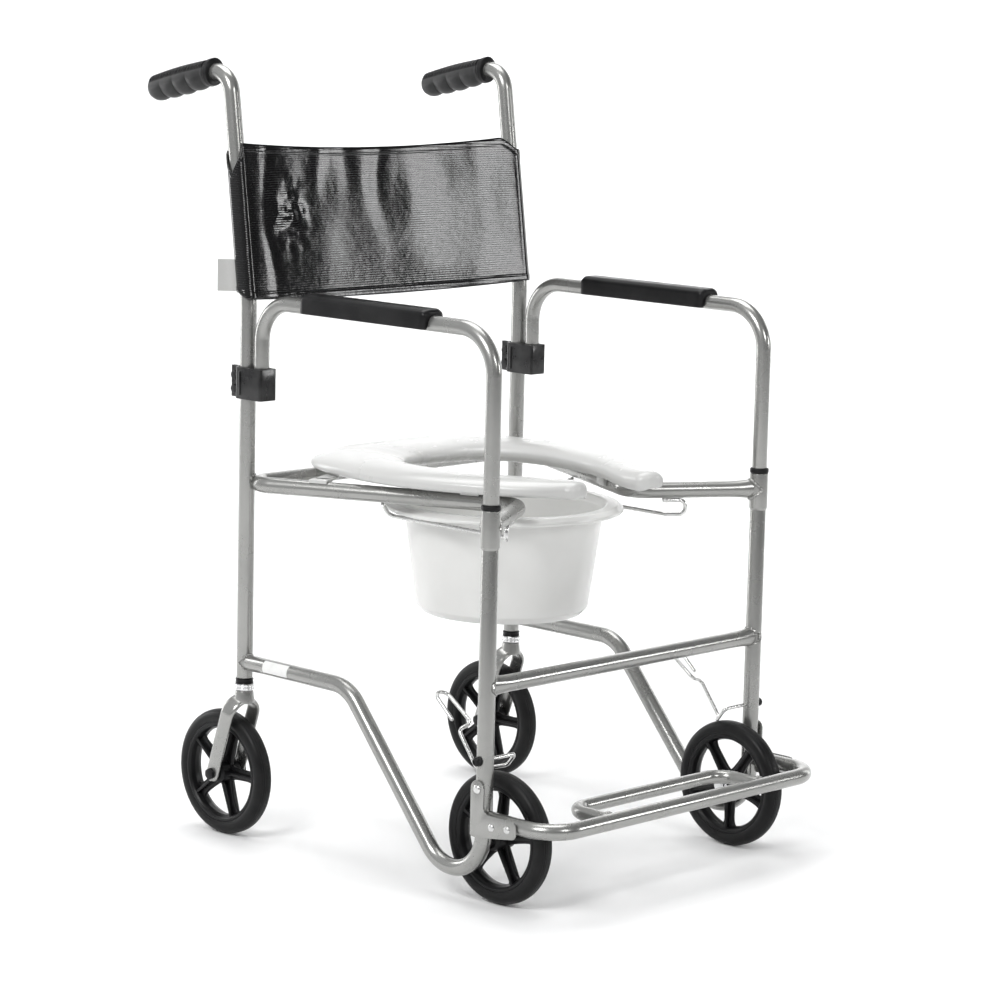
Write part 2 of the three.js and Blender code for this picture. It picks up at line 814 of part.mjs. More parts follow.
const chair = new THREE.Group();
chair.position.y = centring;
chair.add(seatFrameTube(), frontCrossbar(), backUpholstery(), footrest(), bucket(), seat());
for (const side of sides) {
  const ringFor = (name, inner, outer, bottom, top, material, y) => {
    const mesh = ring(`${name}_${side.label}`, inner, outer, bottom, top, material);
    mesh.position.set(side.x * halfWidth, y, 0);
    return mesh;
  };
  const { ringBottom, ringTop, sealTop } = headset;
  const stemBore = stemRadius + fitGap;
  chair.add(rearUpright(side), sideTube(side), guideWire(side), pushGrip(side));
  chair.add(armBracket(side), ...bracketBolts(side), armrest(side));
  chair.add(ringFor('headset_ring', stemBore, 12, ringBottom, ringTop, 'chrome', rearY));
  chair.add(ringFor('headset_seal', stemBore, 10.8, ringTop + weldGap, sealTop, 'blackPlastic', rearY));
  chair.add(
    ringFor(
      'socket_ring',
      armTubeRadius + fitGap,
      socketRadius + 0.4,
      socketTopZ + weldGap,
      socketTopZ + 6,
      'blackPlastic',
      frontY,
    ),
  );
  chair.add(caster(side), frontAxle(side), frontWheel(side));
  chair.add(brakeWire(side), brakeCapOn(side), footRivet(side));
  chair.add(...seatClips.map((clip) => seatClip(side, clip)));
}

export default chair;
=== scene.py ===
import json
import math

import bmesh
import bpy
import numpy as np
from mathutils import Matrix, Vector, noise


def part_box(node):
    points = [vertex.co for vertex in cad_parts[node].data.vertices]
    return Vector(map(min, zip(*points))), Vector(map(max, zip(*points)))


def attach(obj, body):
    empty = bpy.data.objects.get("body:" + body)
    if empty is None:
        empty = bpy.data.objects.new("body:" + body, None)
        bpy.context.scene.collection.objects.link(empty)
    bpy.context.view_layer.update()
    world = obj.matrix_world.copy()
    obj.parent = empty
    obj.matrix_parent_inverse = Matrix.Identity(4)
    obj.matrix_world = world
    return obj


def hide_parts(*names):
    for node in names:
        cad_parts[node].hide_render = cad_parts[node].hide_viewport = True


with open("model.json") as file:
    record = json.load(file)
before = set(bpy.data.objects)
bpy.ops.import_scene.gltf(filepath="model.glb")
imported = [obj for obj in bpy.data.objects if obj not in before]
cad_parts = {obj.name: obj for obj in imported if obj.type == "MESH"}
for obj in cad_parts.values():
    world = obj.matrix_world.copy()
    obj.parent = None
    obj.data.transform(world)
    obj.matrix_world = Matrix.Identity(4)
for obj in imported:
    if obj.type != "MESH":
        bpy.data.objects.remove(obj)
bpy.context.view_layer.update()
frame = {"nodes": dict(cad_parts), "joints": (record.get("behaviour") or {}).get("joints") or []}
print("commode chair: frame loaded,", len(frame["nodes"]), "parts")

# Lengths are metres. The sitter faces -Y, +X is the sitter's left and the floor is Z = 0.

pivots = {j["name"]: Vector(j["pos_m"]) for j in frame["joints"] if "pos_m" in j}
halfWidth = pivots["caster_left_swivel"].x
rearY = pivots["caster_left_swivel"].y
frontY = pivots["brake_left_lift"].y
sides = [("right", -1), ("left", 1)]
up = Vector((0, 0, 1))


def at(x, y, z):
    return Vector((x, y, z))


# Each shape is a pair of points and faces. makePiece joins them into one mesh.


def roundCorners(corners, radii, stepDegrees=5, closed=False):
    corners = [Vector(c) for c in corners]
    count = len(corners)
    if not hasattr(radii, "__len__"):
        radii = [radii] * count
    line = [] if closed else [corners[0]]
    for i in range(count) if closed else range(1, count - 1):
        before, corner, after = corners[i - 1], corners[i], corners[(i + 1) % count]
        arriving = (corner - before).normalized()
        leaving = (after - corner).normalized()
        turn = arriving.angle(leaving)
        radius = radii[i if closed else i - 1]
        if turn < 1e-3 or radius <= 0:
            line.append(corner)
            continue
        axis = arriving.cross(leaving).normalized()
        start = corner - arriving * radius * math.tan(turn / 2)
        centre = start + axis.cross(arriving) * radius
        steps = max(2, math.ceil(math.degrees(turn) / stepDegrees))
        for k in range(steps + 1):
            line.append(centre + Matrix.Rotation(turn * k / steps, 3, axis) @ (start - centre))
    if not closed:
        line.append(corners[-1])
    return line


def roundedBox(width, height, radius, stepDegrees=18):
    w, h = width / 2, height / 2
    corners = [(-w, -h, 0), (w, -h, 0), (w, h, 0), (-w, h, 0)]
    return [(p.x, p.y) for p in roundCorners(corners, radius, stepDegrees, closed=True)]


def circle(radius, sides=32):
    turn = 2 * math.pi / sides
    return [(radius * math.cos(k * turn), radius * math.sin(k * turn)) for k in range(sides)]


# Skins a row of rings. A closed row joins its last ring to its first, else each end is capped.
def skin(rings, closed=False):
    count = len(rings[0])
    points = [Vector(p) for ring in rings for p in ring]
    faces = []
    for i in range(len(rings) if closed else len(rings) - 1):
        a, b = i * count, ((i + 1) % len(rings)) * count
        for k in range(count):
            n = (k + 1) % count
            faces.append((a + k, a + n, b + n, b + k))
    if not closed:
        faces.append(tuple(range(count)))
        faces.append(tuple(range(len(points) - count, len(points))))
    return points, faces


# Carries a flat outline along a line. across keeps one of its directions fixed, else it rolls along.
def sweep(line, outline, across=None, sizes=None, closed=False):
    rings = []
    count = len(line)
    sideways = None
    for i, place in enumerate(line):
        before = line[i - 1] if i or closed else line[0]
        after = line[(i + 1) % count] if i < count - 1 or closed else line[-1]
        heading = (after - before).normalized()
        if across is not None:
            sideways = (across - heading * across.dot(heading)).normalized()
        elif sideways is None:
            guess = up if abs(heading.z) < 0.9 else at(1, 0, 0)
            sideways = (guess - heading * guess.dot(heading)).normalized()
        else:
            sideways = (sideways - heading * sideways.dot(heading)).normalized()
        other = heading.cross(sideways)
        sa, sb = sizes[i] if sizes else (1, 1)
        rings.append([place + sideways * a * sa + other * b * sb for a, b in outline])
    return skin(rings, closed)


# A round bar or tube with its two ends eased by a small radius
def roundBar(line, radius, sides=32, ease=0.0008, easeSteps=3):
    line = list(line)
    first = (line[1] - line[0]).normalized()
    last = (line[-1] - line[-2]).normalized()
    easing = []
    for k in range(easeSteps + 1):
        angle = math.pi / 2 * k / easeSteps
        easing.append((ease * (1 - math.cos(angle)), 1 - ease * (1 - math.sin(angle)) / radius))
    stations = [line[0] + first * along for along, size in easing] + line[1:-1]
    stations += [line[-1] - last * along for along, size in reversed(easing)]
    sizes = [size for along, size in easing] + [1] * (len(line) - 2)
    sizes += [size for along, size in reversed(easing)]
    return sweep(stations, circle(radius, sides), sizes=[(s, s) for s in sizes])


# A turned body from (radius, along) pairs, from axis to axis or as a closed ring
def turned(profile, centre, axis=up, steps=72, closed=False):
    tilt = up.rotation_difference(axis).to_matrix()
    rings = []
    for k in range(steps):
        angle = 2 * math.pi * k / steps
        spoke = at(math.cos(angle), math.sin(angle), 0)
        rings.append([centre + tilt @ (spoke * max(r, 1e-6) + up * along) for r, along in profile])
    points, faces = skin(rings, closed=True)
    if not closed:
        count = len(profile)
        faces = [f for f in faces if not {f[0] % count, f[1] % count} == {0, count - 1}]
    return points, faces


def softProfile(profile, radius, closed=False, stepDegrees=15):
    line = roundCorners([(r, along, 0) for r, along in profile], radius, stepDegrees, closed)
    return [(p.x, p.y) for p in line]


# A flat plate from an outline, with its rims eased
def plate(outline, thickness, ease=0.0004):
    points = [Vector((p[0], p[1], 0)) for p in outline]
    count = len(points)
    area = sum(points[i - 1].cross(points[i]).z for i in range(count))
    inward = []
    for i in range(count):
        heading = (points[(i + 1) % count] - points[i - 1]).normalized()
        inward.append(up.cross(heading) * (1 if area > 0 else -1))
    rows = [(ease, 0), (ease * 0.3, ease * 0.3), (0, ease)]
    rows += [(inset, thickness - height) for inset, height in reversed(rows)]
    rings = [[p + n * inset + up * height for p, n in zip(points, inward)] for inset, height in rows]
    return skin(rings)


# A bent strip of sheet metal: a flat line in XY, thickened and raised along Z
def strap(line, thickness, low, high, ease=0.0004):
    sized = []
    for i, place in enumerate(line):
        heading = (line[min(i + 1, len(line) - 1)] - line[max(i - 1, 0)]).normalized()
        sized.append((place, up.cross(heading)))
    half = thickness / 2
    outline = [(p + n * half) for p, n in sized] + [(p - n * half) for p, n in reversed(sized)]
    points, faces = plate([(p.x, p.y) for p in outline], high - low, ease)
    return [p + up * low for p in points], faces


def moved(shape, matrix):
    points, faces = shape
    return [matrix @ p for p in points], faces


def shifted(shape, offset):
    return moved(shape, Matrix.Translation(offset))


def facing(axis, centre):
    return Matrix.Translation(centre) @ up.rotation_difference(axis).to_matrix().to_4x4()


# A hexagon head or nut with its outer corners turned off. It stands on centre and rises along axis.
def hexHead(centre, axis, acrossCorners, height, domed=0.0):
    steps, rings = 48, []
    ease = 0.0006
    rows = [(0, 1.0), (height - 2 * ease, 1.0), (height - ease, 0.97), (height, 0.86)]
    rows.append((height + domed, 0.4))
    for along, size in rows:
        ring = []
        for k in range(steps):
            angle = 2 * math.pi * k / steps
            flat = math.cos(math.pi / 6) / math.cos((angle % (math.pi / 3)) - math.pi / 6)
            reach = min(flat, 1.0 if size == 1.0 else size * 1.02)
            ring.append(at(reach * math.cos(angle), reach * math.sin(angle), 0) * acrossCorners / 2)
            ring[-1].z = along
        rings.append(ring)
    return moved(skin(rings), facing(axis, centre))


def washer(centre, axis, outer, inner, height):
    profile = softProfile([(inner, 0), (outer, 0), (outer, height), (inner, height)], height / 3, True)
    return turned(profile, centre, axis, 40, closed=True)


# The rippled bead of a weld where a tube meets the side of another
def weldBead(foot, along, across, tubeRadius, ontoRadius, size=0.0017, ripple=0.0022):
    third = along.cross(across).normalized()
    steps = 120
    ripples = round(2 * math.pi * tubeRadius / ripple)
    rings = []
    for k in range(steps):
        angle = 2 * math.pi * k / steps
        radial = across * math.cos(angle) + third * math.sin(angle)
        offset = min(tubeRadius * abs(math.sin(angle)), ontoRadius * 0.999)
        out = math.sqrt(ontoRadius**2 - offset**2)
        centre = foot + radial * tubeRadius + along * out
        bead = size * (1 + 0.14 * math.sin(ripples * angle) + 0.2 * noise.noise(centre * 150))
        ring = []
        for j in range(10):
            spin = 2 * math.pi * j / 10
            ring.append(centre + radial * bead * math.cos(spin) + along * bead * math.sin(spin))
        rings.append(ring)
    return skin(rings, closed=True)


def makePiece(name, shapes, finish, body, node=None, sharp=32, smooth=True):
    finishes = finish if isinstance(finish, list) else [finish]
    shapes = shapes if isinstance(shapes, list) else [shapes]
    points, faces, looks = [], [], []
    for shape in shapes:
        offset = len(points)
        points += shape[0]
        faces += [tuple(offset + i for i in face) for face in shape[1]]
        looks += [shape[2] if len(shape) > 2 else 0] * len(shape[1])
    mesh = bpy.data.meshes.new(name)
    mesh.from_pydata([tuple(p) for p in points], [], faces)
    for material in finishes:
        mesh.materials.append(material)
    mesh.polygons.foreach_set("material_index", looks)
    work = bmesh.new()
    work.from_mesh(mesh)
    bmesh.ops.remove_doubles(work, verts=work.verts, dist=2e-6)
    bmesh.ops.delete(work, geom=[v for v in work.verts if not v.link_faces], context="VERTS")
    bmesh.ops.recalc_face_normals(work, faces=work.faces)
    work.to_mesh(mesh)
    work.free()
    if smooth:
        mesh.shade_smooth()
        mesh.set_sharp_from_angle(angle=math.radians(sharp))
    piece = bpy.data.objects.new(name, mesh)
    bpy.context.scene.collection.objects.link(piece)
    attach(piece, body)
    if node:
        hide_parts(*([node] if isinstance(node, str) else node))
    return piece


finishes = {
    "silverPaint": {
        "colour": (0.350, 0.350, 0.338), "second": (0.310, 0.310, 0.300), "metallic": 0.80,
        "gloss": (0.24, 0.32), "grain": (3200, 0.000002),
        "cloud": 16, "coat": 0.30, "specks": 0.05, "shine": 0.50,
    },
    "blackSteelPaint": {
        "colour": (0.010, 0.010, 0.0105), "second": (0.024, 0.024, 0.024), "metallic": 0.20,
        "gloss": (0.26, 0.48), "grain": (900, 0.00010),
        "cloud": 60, "coat": 0.3, "specks": 0.5, "shine": 0.30,
    },
    "zincPlate": {
        "colour": (0.72, 0.72, 0.71), "second": (0.55, 0.55, 0.55), "metallic": 1.0,
        "gloss": (0.16, 0.36), "grain": (1800, 0.00004),
        "cloud": 90, "coat": 0, "specks": 0.6, "shine": 0.50,
    },
    "polishedMetal": {
        "colour": (0.86, 0.86, 0.86), "second": (0.74, 0.74, 0.75), "metallic": 1.0,
        "gloss": (0.05, 0.16), "grain": (1500, 0.00001),
        "cloud": 70, "coat": 0, "specks": 0.3, "shine": 0.50,
    },
    "darkPlastic": {
        "colour": (0.0055, 0.0055, 0.006), "second": (0.010, 0.010, 0.0105), "metallic": 0.0,
        "gloss": (0.28, 0.42), "grain": (2200, 0.00006),
        "cloud": 40, "coat": 0, "specks": 0.3, "shine": 0.22,
    },
    "gripRubber": {
        "colour": (0.020, 0.020, 0.0205), "second": (0.034, 0.034, 0.0345), "metallic": 0.0,
        "gloss": (0.36, 0.52), "grain": (2600, 0.00006),
        "cloud": 70, "coat": 0, "specks": 0.2, "shine": 0.30,
    },
    "tyreRubber": {
        "colour": (0.0065, 0.0065, 0.007), "second": (0.012, 0.012, 0.012), "metallic": 0.0,
        "gloss": (0.32, 0.50), "grain": (1800, 0.00008),
        "cloud": 50, "coat": 0, "specks": 0.5, "shine": 0.18,
    },
    "bucketPlastic": {
        "colour": (0.72, 0.72, 0.705), "second": (0.68, 0.68, 0.665), "metallic": 0.0,
        "gloss": (0.20, 0.27), "grain": (700, 0.00003),
        "cloud": 9, "coat": 0.10, "specks": 0.0, "shine": 0.50,
    },
    # the seat's plastic is the bucket's white made darker: painted shade, standing in for less light on the
    # seat's brightly lit top
    "shadedSeatPlastic": {
        "colour": (0.56, 0.56, 0.55), "second": (0.53, 0.53, 0.52), "metallic": 0.0,
        "gloss": (0.24, 0.30), "grain": (700, 0.00003),
        "cloud": 9, "coat": 0.10, "specks": 0.0, "shine": 0.50,
    },
    "whitePaper": {
        "colour": (0.80, 0.80, 0.79), "second": (0.72, 0.72, 0.71), "metallic": 0.0,
        "gloss": (0.40, 0.60), "grain": (1400, 0.00006),
        "cloud": 60, "coat": 0, "specks": 0.2, "shine": 0.50,
    },
}


def link(tree, source, target):
    tree.links.new(source, target)


def addNode(tree, kind, **inputs):
    node = tree.nodes.new(kind)
    for name, value in inputs.items():
        node.inputs[name.replace("_", " ")].default_value = value
    return node


def startFinish(name):
    material = bpy.data.materials.new(name)
    material.use_nodes = True
    tree = material.node_tree
    shader = tree.nodes["Principled BSDF"]
    place = tree.nodes.new("ShaderNodeTexCoord").outputs["Object"]
    return material, tree, shader, place


# Two colours in soft clouds, a gloss that wanders, fine specks of dirt or wear and a fine grain
def makeFinish(name, look):
    material, tree, shader, place = startFinish(name)
    shader.inputs["Metallic"].default_value = look["metallic"]
    shader.inputs["Specular IOR Level"].default_value = look["shine"]
    if look["coat"]:
        shader.inputs["Coat Weight"].default_value = look["coat"]
        shader.inputs["Coat Roughness"].default_value = 0.12
    clouds = addNode(tree, "ShaderNodeTexNoise", Scale=look["cloud"], Detail=5.0, Roughness=0.6)
    specks = addNode(tree, "ShaderNodeTexNoise", Scale=look["cloud"] * 14, Detail=3.0, Roughness=0.7)
    link(tree, place, clouds.inputs["Vector"])
    link(tree, place, specks.inputs["Vector"])
    worn = tree.nodes.new("ShaderNodeMapRange")
    worn.inputs["From Min"].default_value = 0.62
    worn.inputs["From Max"].default_value = 0.80
    worn.inputs["To Max"].default_value = look["specks"]
    link(tree, specks.outputs["Fac"], worn.inputs["Value"])
    share = tree.nodes.new("ShaderNodeMath")
    share.operation = "MAXIMUM"
    spread = tree.nodes.new("ShaderNodeMapRange")
    spread.inputs["From Min"].default_value = 0.38
    spread.inputs["From Max"].default_value = 0.70
    link(tree, clouds.outputs["Fac"], spread.inputs["Value"])
    link(tree, spread.outputs["Result"], share.inputs[0])
    link(tree, worn.outputs["Result"], share.inputs[1])
    colours = tree.nodes.new("ShaderNodeValToRGB")
    colours.color_ramp.elements[0].color = (*look["colour"], 1)
    colours.color_ramp.elements[1].color = (*look["second"], 1)
    link(tree, share.outputs["Value"], colours.inputs["Fac"])
    link(tree, colours.outputs["Color"], shader.inputs["Base Color"])
    gloss = tree.nodes.new("ShaderNodeMapRange")
    gloss.inputs["To Min"].default_value = look["gloss"][0]
    gloss.inputs["To Max"].default_value = look["gloss"][1]
    link(tree, share.outputs["Value"], gloss.inputs["Value"])
    link(tree, gloss.outputs["Result"], shader.inputs["Roughness"])
    grain = addNode(tree, "ShaderNodeTexNoise", Scale=look["grain"][0], Detail=2.0)
    link(tree, place, grain.inputs["Vector"])
    bump = addNode(tree, "ShaderNodeBump", Strength=1.0, Distance=look["grain"][1])
    link(tree, grain.outputs["Fac"], bump.inputs["Height"])
    link(tree, bump.outputs["Normal"], shader.inputs["Normal"])
    return material


silverPaint = makeFinish("silver paint", finishes["silverPaint"])
blackSteelPaint = makeFinish("black steel paint", finishes["blackSteelPaint"])
zincPlate = makeFinish("zinc plate", finishes["zincPlate"])
polishedMetal = makeFinish("polished metal", finishes["polishedMetal"])
darkPlastic = makeFinish("dark plastic", finishes["darkPlastic"])
gripRubber = makeFinish("grip rubber", finishes["gripRubber"])
tyreRubber = makeFinish("tyre rubber", finishes["tyreRubber"])
bucketPlastic = makeFinish("bucket plastic", finishes["bucketPlastic"])
# a darker copy of the bucket's white for the seat and its clips: painted shade for the seat's brightly lit
# top
shadedSeatPlastic = makeFinish("shaded seat plastic", finishes["shadedSeatPlastic"])
whitePaper = makeFinish("white paper", finishes["whitePaper"])

vinylLook = {
    "colour": (0.0040, 0.0040, 0.0043),
    "dust": (0.010, 0.010, 0.010),
    "ribPitch": 0.0027,
    "ribHeight": 0.00011,
    "gloss": (0.09, 0.19),
}


# Glossy vinyl with fine ribs across it, a faint crinkle and a film of dust
def makeRibbedVinyl(look):
    material, tree, shader, place = startFinish("ribbed vinyl")
    ribs = addNode(tree, "ShaderNodeTexWave", Scale=2 * math.pi / (20 * look["ribPitch"]))
    ribs.inputs["Distortion"].default_value = 0.35
    ribs.inputs["Detail Scale"].default_value = 0.3
    ribs.bands_direction = "Z"
    crinkle = addNode(tree, "ShaderNodeTexNoise", Scale=85.0, Detail=4.0, Roughness=0.55)
    dust = addNode(tree, "ShaderNodeTexNoise", Scale=420.0, Detail=3.0, Roughness=0.7)
    for texture in (ribs, crinkle, dust):
        link(tree, place, texture.inputs["Vector"])
    film = tree.nodes.new("ShaderNodeMapRange")
    film.inputs["From Min"].default_value = 0.55
    film.inputs["From Max"].default_value = 0.85
    link(tree, dust.outputs["Fac"], film.inputs["Value"])
    colours = tree.nodes.new("ShaderNodeValToRGB")
    colours.color_ramp.elements[0].color = (*look["colour"], 1)
    colours.color_ramp.elements[1].color = (*look["dust"], 1)
    link(tree, film.outputs["Result"], colours.inputs["Fac"])
    link(tree, colours.outputs["Color"], shader.inputs["Base Color"])
    gloss = tree.nodes.new("ShaderNodeMapRange")
    gloss.inputs["To Min"].default_value = look["gloss"][0]
    gloss.inputs["To Max"].default_value = look["gloss"][1]
    link(tree, crinkle.outputs["Fac"], gloss.inputs["Value"])
    link(tree, gloss.outputs["Result"], shader.inputs["Roughness"])
    broad = addNode(tree, "ShaderNodeBump", Strength=0.5, Distance=0.0008)
    link(tree, crinkle.outputs["Fac"], broad.inputs["Height"])
    fine = addNode(tree, "ShaderNodeBump", Strength=1.0, Distance=look["ribHeight"])
    link(tree, ribs.outputs["Fac"], fine.inputs["Height"])
    link(tree, broad.outputs["Normal"], fine.inputs["Normal"])
    link(tree, fine.outputs["Normal"], shader.inputs["Normal"])
    shader.inputs["Coat Weight"].default_value = 0.25
    shader.inputs["Coat Roughness"].default_value = 0.10
    return material


# A pale woven tape, with threads both ways
def makeWovenTape():
    material, tree, shader, place = startFinish("woven tape")
    rows = []
    for direction in ("X", "Z"):
        threads = addNode(tree, "ShaderNodeTexWave", Scale=700.0, Distortion=0.6)
        threads.bands_direction = direction
        link(tree, place, threads.inputs["Vector"])
        rows.append(threads)
    weave = tree.nodes.new("ShaderNodeMath")
    weave.operation = "MULTIPLY"
    link(tree, rows[0].outputs["Fac"], weave.inputs[0])
    link(tree, rows[1].outputs["Fac"], weave.inputs[1])
    colours = tree.nodes.new("ShaderNodeValToRGB")
    colours.color_ramp.elements[0].color = (0.46, 0.46, 0.45, 1)
    colours.color_ramp.elements[1].color = (0.66, 0.66, 0.65, 1)
    link(tree, weave.outputs["Value"], colours.inputs["Fac"])
    link(tree, colours.outputs["Color"], shader.inputs["Base Color"])
    bump = addNode(tree, "ShaderNodeBump", Strength=0.6, Distance=0.0002)
    link(tree, weave.outputs["Value"], bump.inputs["Height"])
    link(tree, bump.outputs["Normal"], shader.inputs["Normal"])
    shader.inputs["Roughness"].default_value = 0.8
    return material


ribbedVinyl = makeRibbedVinyl(vinylLook)
wovenTape = makeWovenTape()
print("commode chair: finishes made")

tube = {
    "radius": 0.0095,
    "leanStart": 0.637,  # the back leans from here up
    "lean": math.radians(8),
    "leanBend": 0.12,
    "handleCorner": 0.9065,
    "handleDrop": math.radians(12.5),
    "handleBend": 0.027,
    "handleShare": 0.79,  # of the upright's depth
    "sideHairpin": 0.048,
    "sideKnee": 0.050,
    "hairpinCorner": -0.043,
    "kneeFromFront": 0.222,
    "lowerRail": 0.213,
    "seatNoseX": 0.091,
    "seatNoseFromFront": 0.083,
    "seatCornerX": 0.233,
    "stubSlope": 0.6,
    "sleeve": 0.0108,
    "sleeveLength": 0.044,
}


def handleLine(x):
    slope = math.tan(tube["lean"])
    cornerY = rearY + (tube["handleCorner"] - tube["leanStart"]) * slope
    corner = at(x, cornerY, tube["handleCorner"])
    heading = at(0, math.cos(tube["handleDrop"]), -math.sin(tube["handleDrop"]))
    return corner, heading


def makeRearUpright(label, x):
    low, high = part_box(f"rear_upright_{label}")
    corner, heading = handleLine(x)
    end = corner + heading * ((high.y - rearY) * tube["handleShare"])
    corners = [at(x, rearY, low.z), at(x, rearY, tube["leanStart"]), corner, end]
    line = roundCorners(corners, [tube["leanBend"], tube["handleBend"]], 3)
    makePiece(f"rearUpright_{label}", roundBar(line, tube["radius"], 40), silverPaint, "frame",
              f"rear_upright_{label}")


def sideLine(x):
    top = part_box("side_tube_left")[1].z
    corners = [
        at(x, frontY, top),
        at(x, frontY, tube["hairpinCorner"]),
        at(x, frontY + tube["kneeFromFront"], tube["lowerRail"]),
        at(x, rearY - tube["radius"] * 0.6, tube["lowerRail"]),
    ]
    return roundCorners(corners, [tube["sideHairpin"], tube["sideKnee"]], 3)


def makeSideTube(label, x):
    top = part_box(f"side_tube_{label}")[1].z
    radius, sleeve = tube["radius"], tube["sleeve"]
    foot = top - tube["sleeveLength"]
    profile = [(0, foot), (radius, foot), (sleeve, foot + 0.003), (sleeve, top), (0, top)]
    swaged = turned(softProfile(profile, [0.0012, 0.0012, 0.0008]), at(x, frontY, 0), steps=48)
    bead = weldBead(at(x, rearY, tube["lowerRail"]), at(0, -1, 0), up, radius, radius)
    shapes = [roundBar(sideLine(x), radius, 40), swaged, bead]
    makePiece(f"sideTube_{label}", shapes, silverPaint, "frame", f"side_tube_{label}")


def makeSeatFrame():
    low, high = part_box("seat_frame_tube")
    level = (low.z + high.z) / 2
    radius = tube["radius"]
    noseX, noseY = tube["seatNoseX"], frontY + tube["seatNoseFromFront"]
    rearCross = rearY - 0.007
    stubY = noseY - tube["stubSlope"] * (halfWidth - noseX)
    half = [at(halfWidth, stubY, level), at(noseX, noseY, level), at(tube["seatCornerX"], rearCross, level)]
    mirrored = [at(-p.x, p.y, p.z) for p in reversed(half)]
    line = roundCorners(half + mirrored, [0.030, 0.020, 0.020, 0.030], 3)
    first = (line[1] - line[0]).normalized()
    # the stub ends are opened out where they meet the uprights
    line = [line[0] + first * 0.004 * k for k in range(12)] + line[1:-1]
    line += [at(-p.x, p.y, p.z) for p in reversed(line[:12])]
    flare = [(1 + 0.22 * max(0, 1 - max(0, k - 2) / 8) ** 2, 1) for k in range(12)]
    sizes = flare + [(1, 1)] * (len(line) - 24) + flare[::-1]
    shapes = [sweep(line, circle(radius, 40), across=up, sizes=sizes)]
    for x in (-1, 1):
        stub = at(x * (noseX - halfWidth), noseY - stubY, 0).normalized()
        onto = at(x * halfWidth, frontY, level)
        shapes.append(weldBead(onto, stub, up, radius * 1.15, tube["sleeve"], 0.0022))
        inward = at(-x, 0, 0)
        shapes.append(weldBead(at(x * halfWidth, rearY, level), inward, up, radius, radius, 0.002))
    makePiece("seatFrameTube", shapes, silverPaint, "frame", "seat_frame_tube")


def makeFrontCrossbar():
    low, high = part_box("front_crossbar")
    level, radius = (low.z + high.z) / 2, tube["radius"]
    reach = halfWidth - radius * 0.5
    count = 40
    line = [at(-reach + 2 * reach * k / count, frontY, level) for k in range(count + 1)]
    sizes = []
    for p in line:
        squeeze = max(0, 1 - (reach - abs(p.x)) / 0.030) ** 2
        sizes.append((1 + 0.25 * squeeze, 1 - 0.15 * squeeze))
    shapes = [sweep(line, circle(radius, 40), across=up, sizes=sizes)]
    for x in (-1, 1):
        foot = at(x * halfWidth, frontY, level)
        shapes.append(weldBead(foot, at(-x, 0, 0), up, radius * 1.1, radius, 0.0021))
    makePiece("frontCrossbar", shapes, silverPaint, "frame", "front_crossbar")


for label, x in sides:
    makeRearUpright(label, x * halfWidth)
    makeSideTube(label, x * halfWidth)
makeSeatFrame()
makeFrontCrossbar()

guide = {
    "radius": 0.0025,
    "level": 0.3975,
    "runX": 0.133,
    "rounding": 0.008,
    "rearGap": 0.162,  # from the rear uprights
    "frontGap": 0.065,  # from the front uprights
    "rearX": 0.160,
    "loopX": 0.150,
    "hookX": 0.126,
    "welds": [(0.002, 0.0030), (0.006, 0.0034), (0.010, 0.0028)],  # place and size of each blob
}


def makeGuideWire(label, x):
    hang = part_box(f"guide_wire_{label}")[1].z - guide["radius"]
    rearEnd, turnY = rearY - guide["rearGap"], frontY + guide["frontGap"]
    corners = [
        at(x * guide["rearX"], rearEnd, hang),
        at(x * guide["runX"], rearEnd + 0.016, guide["level"]),
        at(x * guide["runX"], turnY, guide["level"]),
        at(x * guide["loopX"], turnY - 0.016, guide["level"]),
        at(x * (guide["loopX"] + 0.001), turnY - 0.0165, hang),
        at(x * guide["hookX"], turnY - 0.002, hang),
    ]
    r = guide["rounding"]
    line = roundCorners(corners, [0.006, r, r, r], 8)
    shapes = [roundBar(line, guide["radius"], 16, 0.0008)]
    for end, heading in ((line[0], line[1] - line[0]), (line[-1], line[-2] - line[-1])):
        heading = heading.normalized()
        for along, size in guide["welds"]:
            blob = end + heading * along + up * 0.0012
            bead = [(0, -size), (size * 0.7, -size * 0.7), (size, 0), (size * 0.7, size * 0.7), (0, size)]
            shapes.append(turned(softProfile(bead, size * 0.4), blob, up, 16))
    makePiece(f"guideWire_{label}", shapes, zincPlate, "frame", f"guide_wire_{label}")


for label, x in sides:
    makeGuideWire(label, x)
print("commode chair: frame tubes and guide wires made")

grip = {
    "length": 0.112,
    "start": 0.0296,  # from the corner of the handle's bend
    "radius": 0.0145,
    "belly": 0.0018,
    "bumps": 4,
    "bumpHeight": 0.0034,
    "ribPitch": 0.0024,
    "ribDepth": 0.0006,
    "ribs": (0.010, 0.008),  # clear of the collar and of the nose
    "bumpsFrom": 0.012,
    "bumpsClear": 0.004,  # of the nose
    "collar": 0.0020,
    "collarLength": 0.007,
    "noseLength": 0.011,
    "slant": 0.006,
}


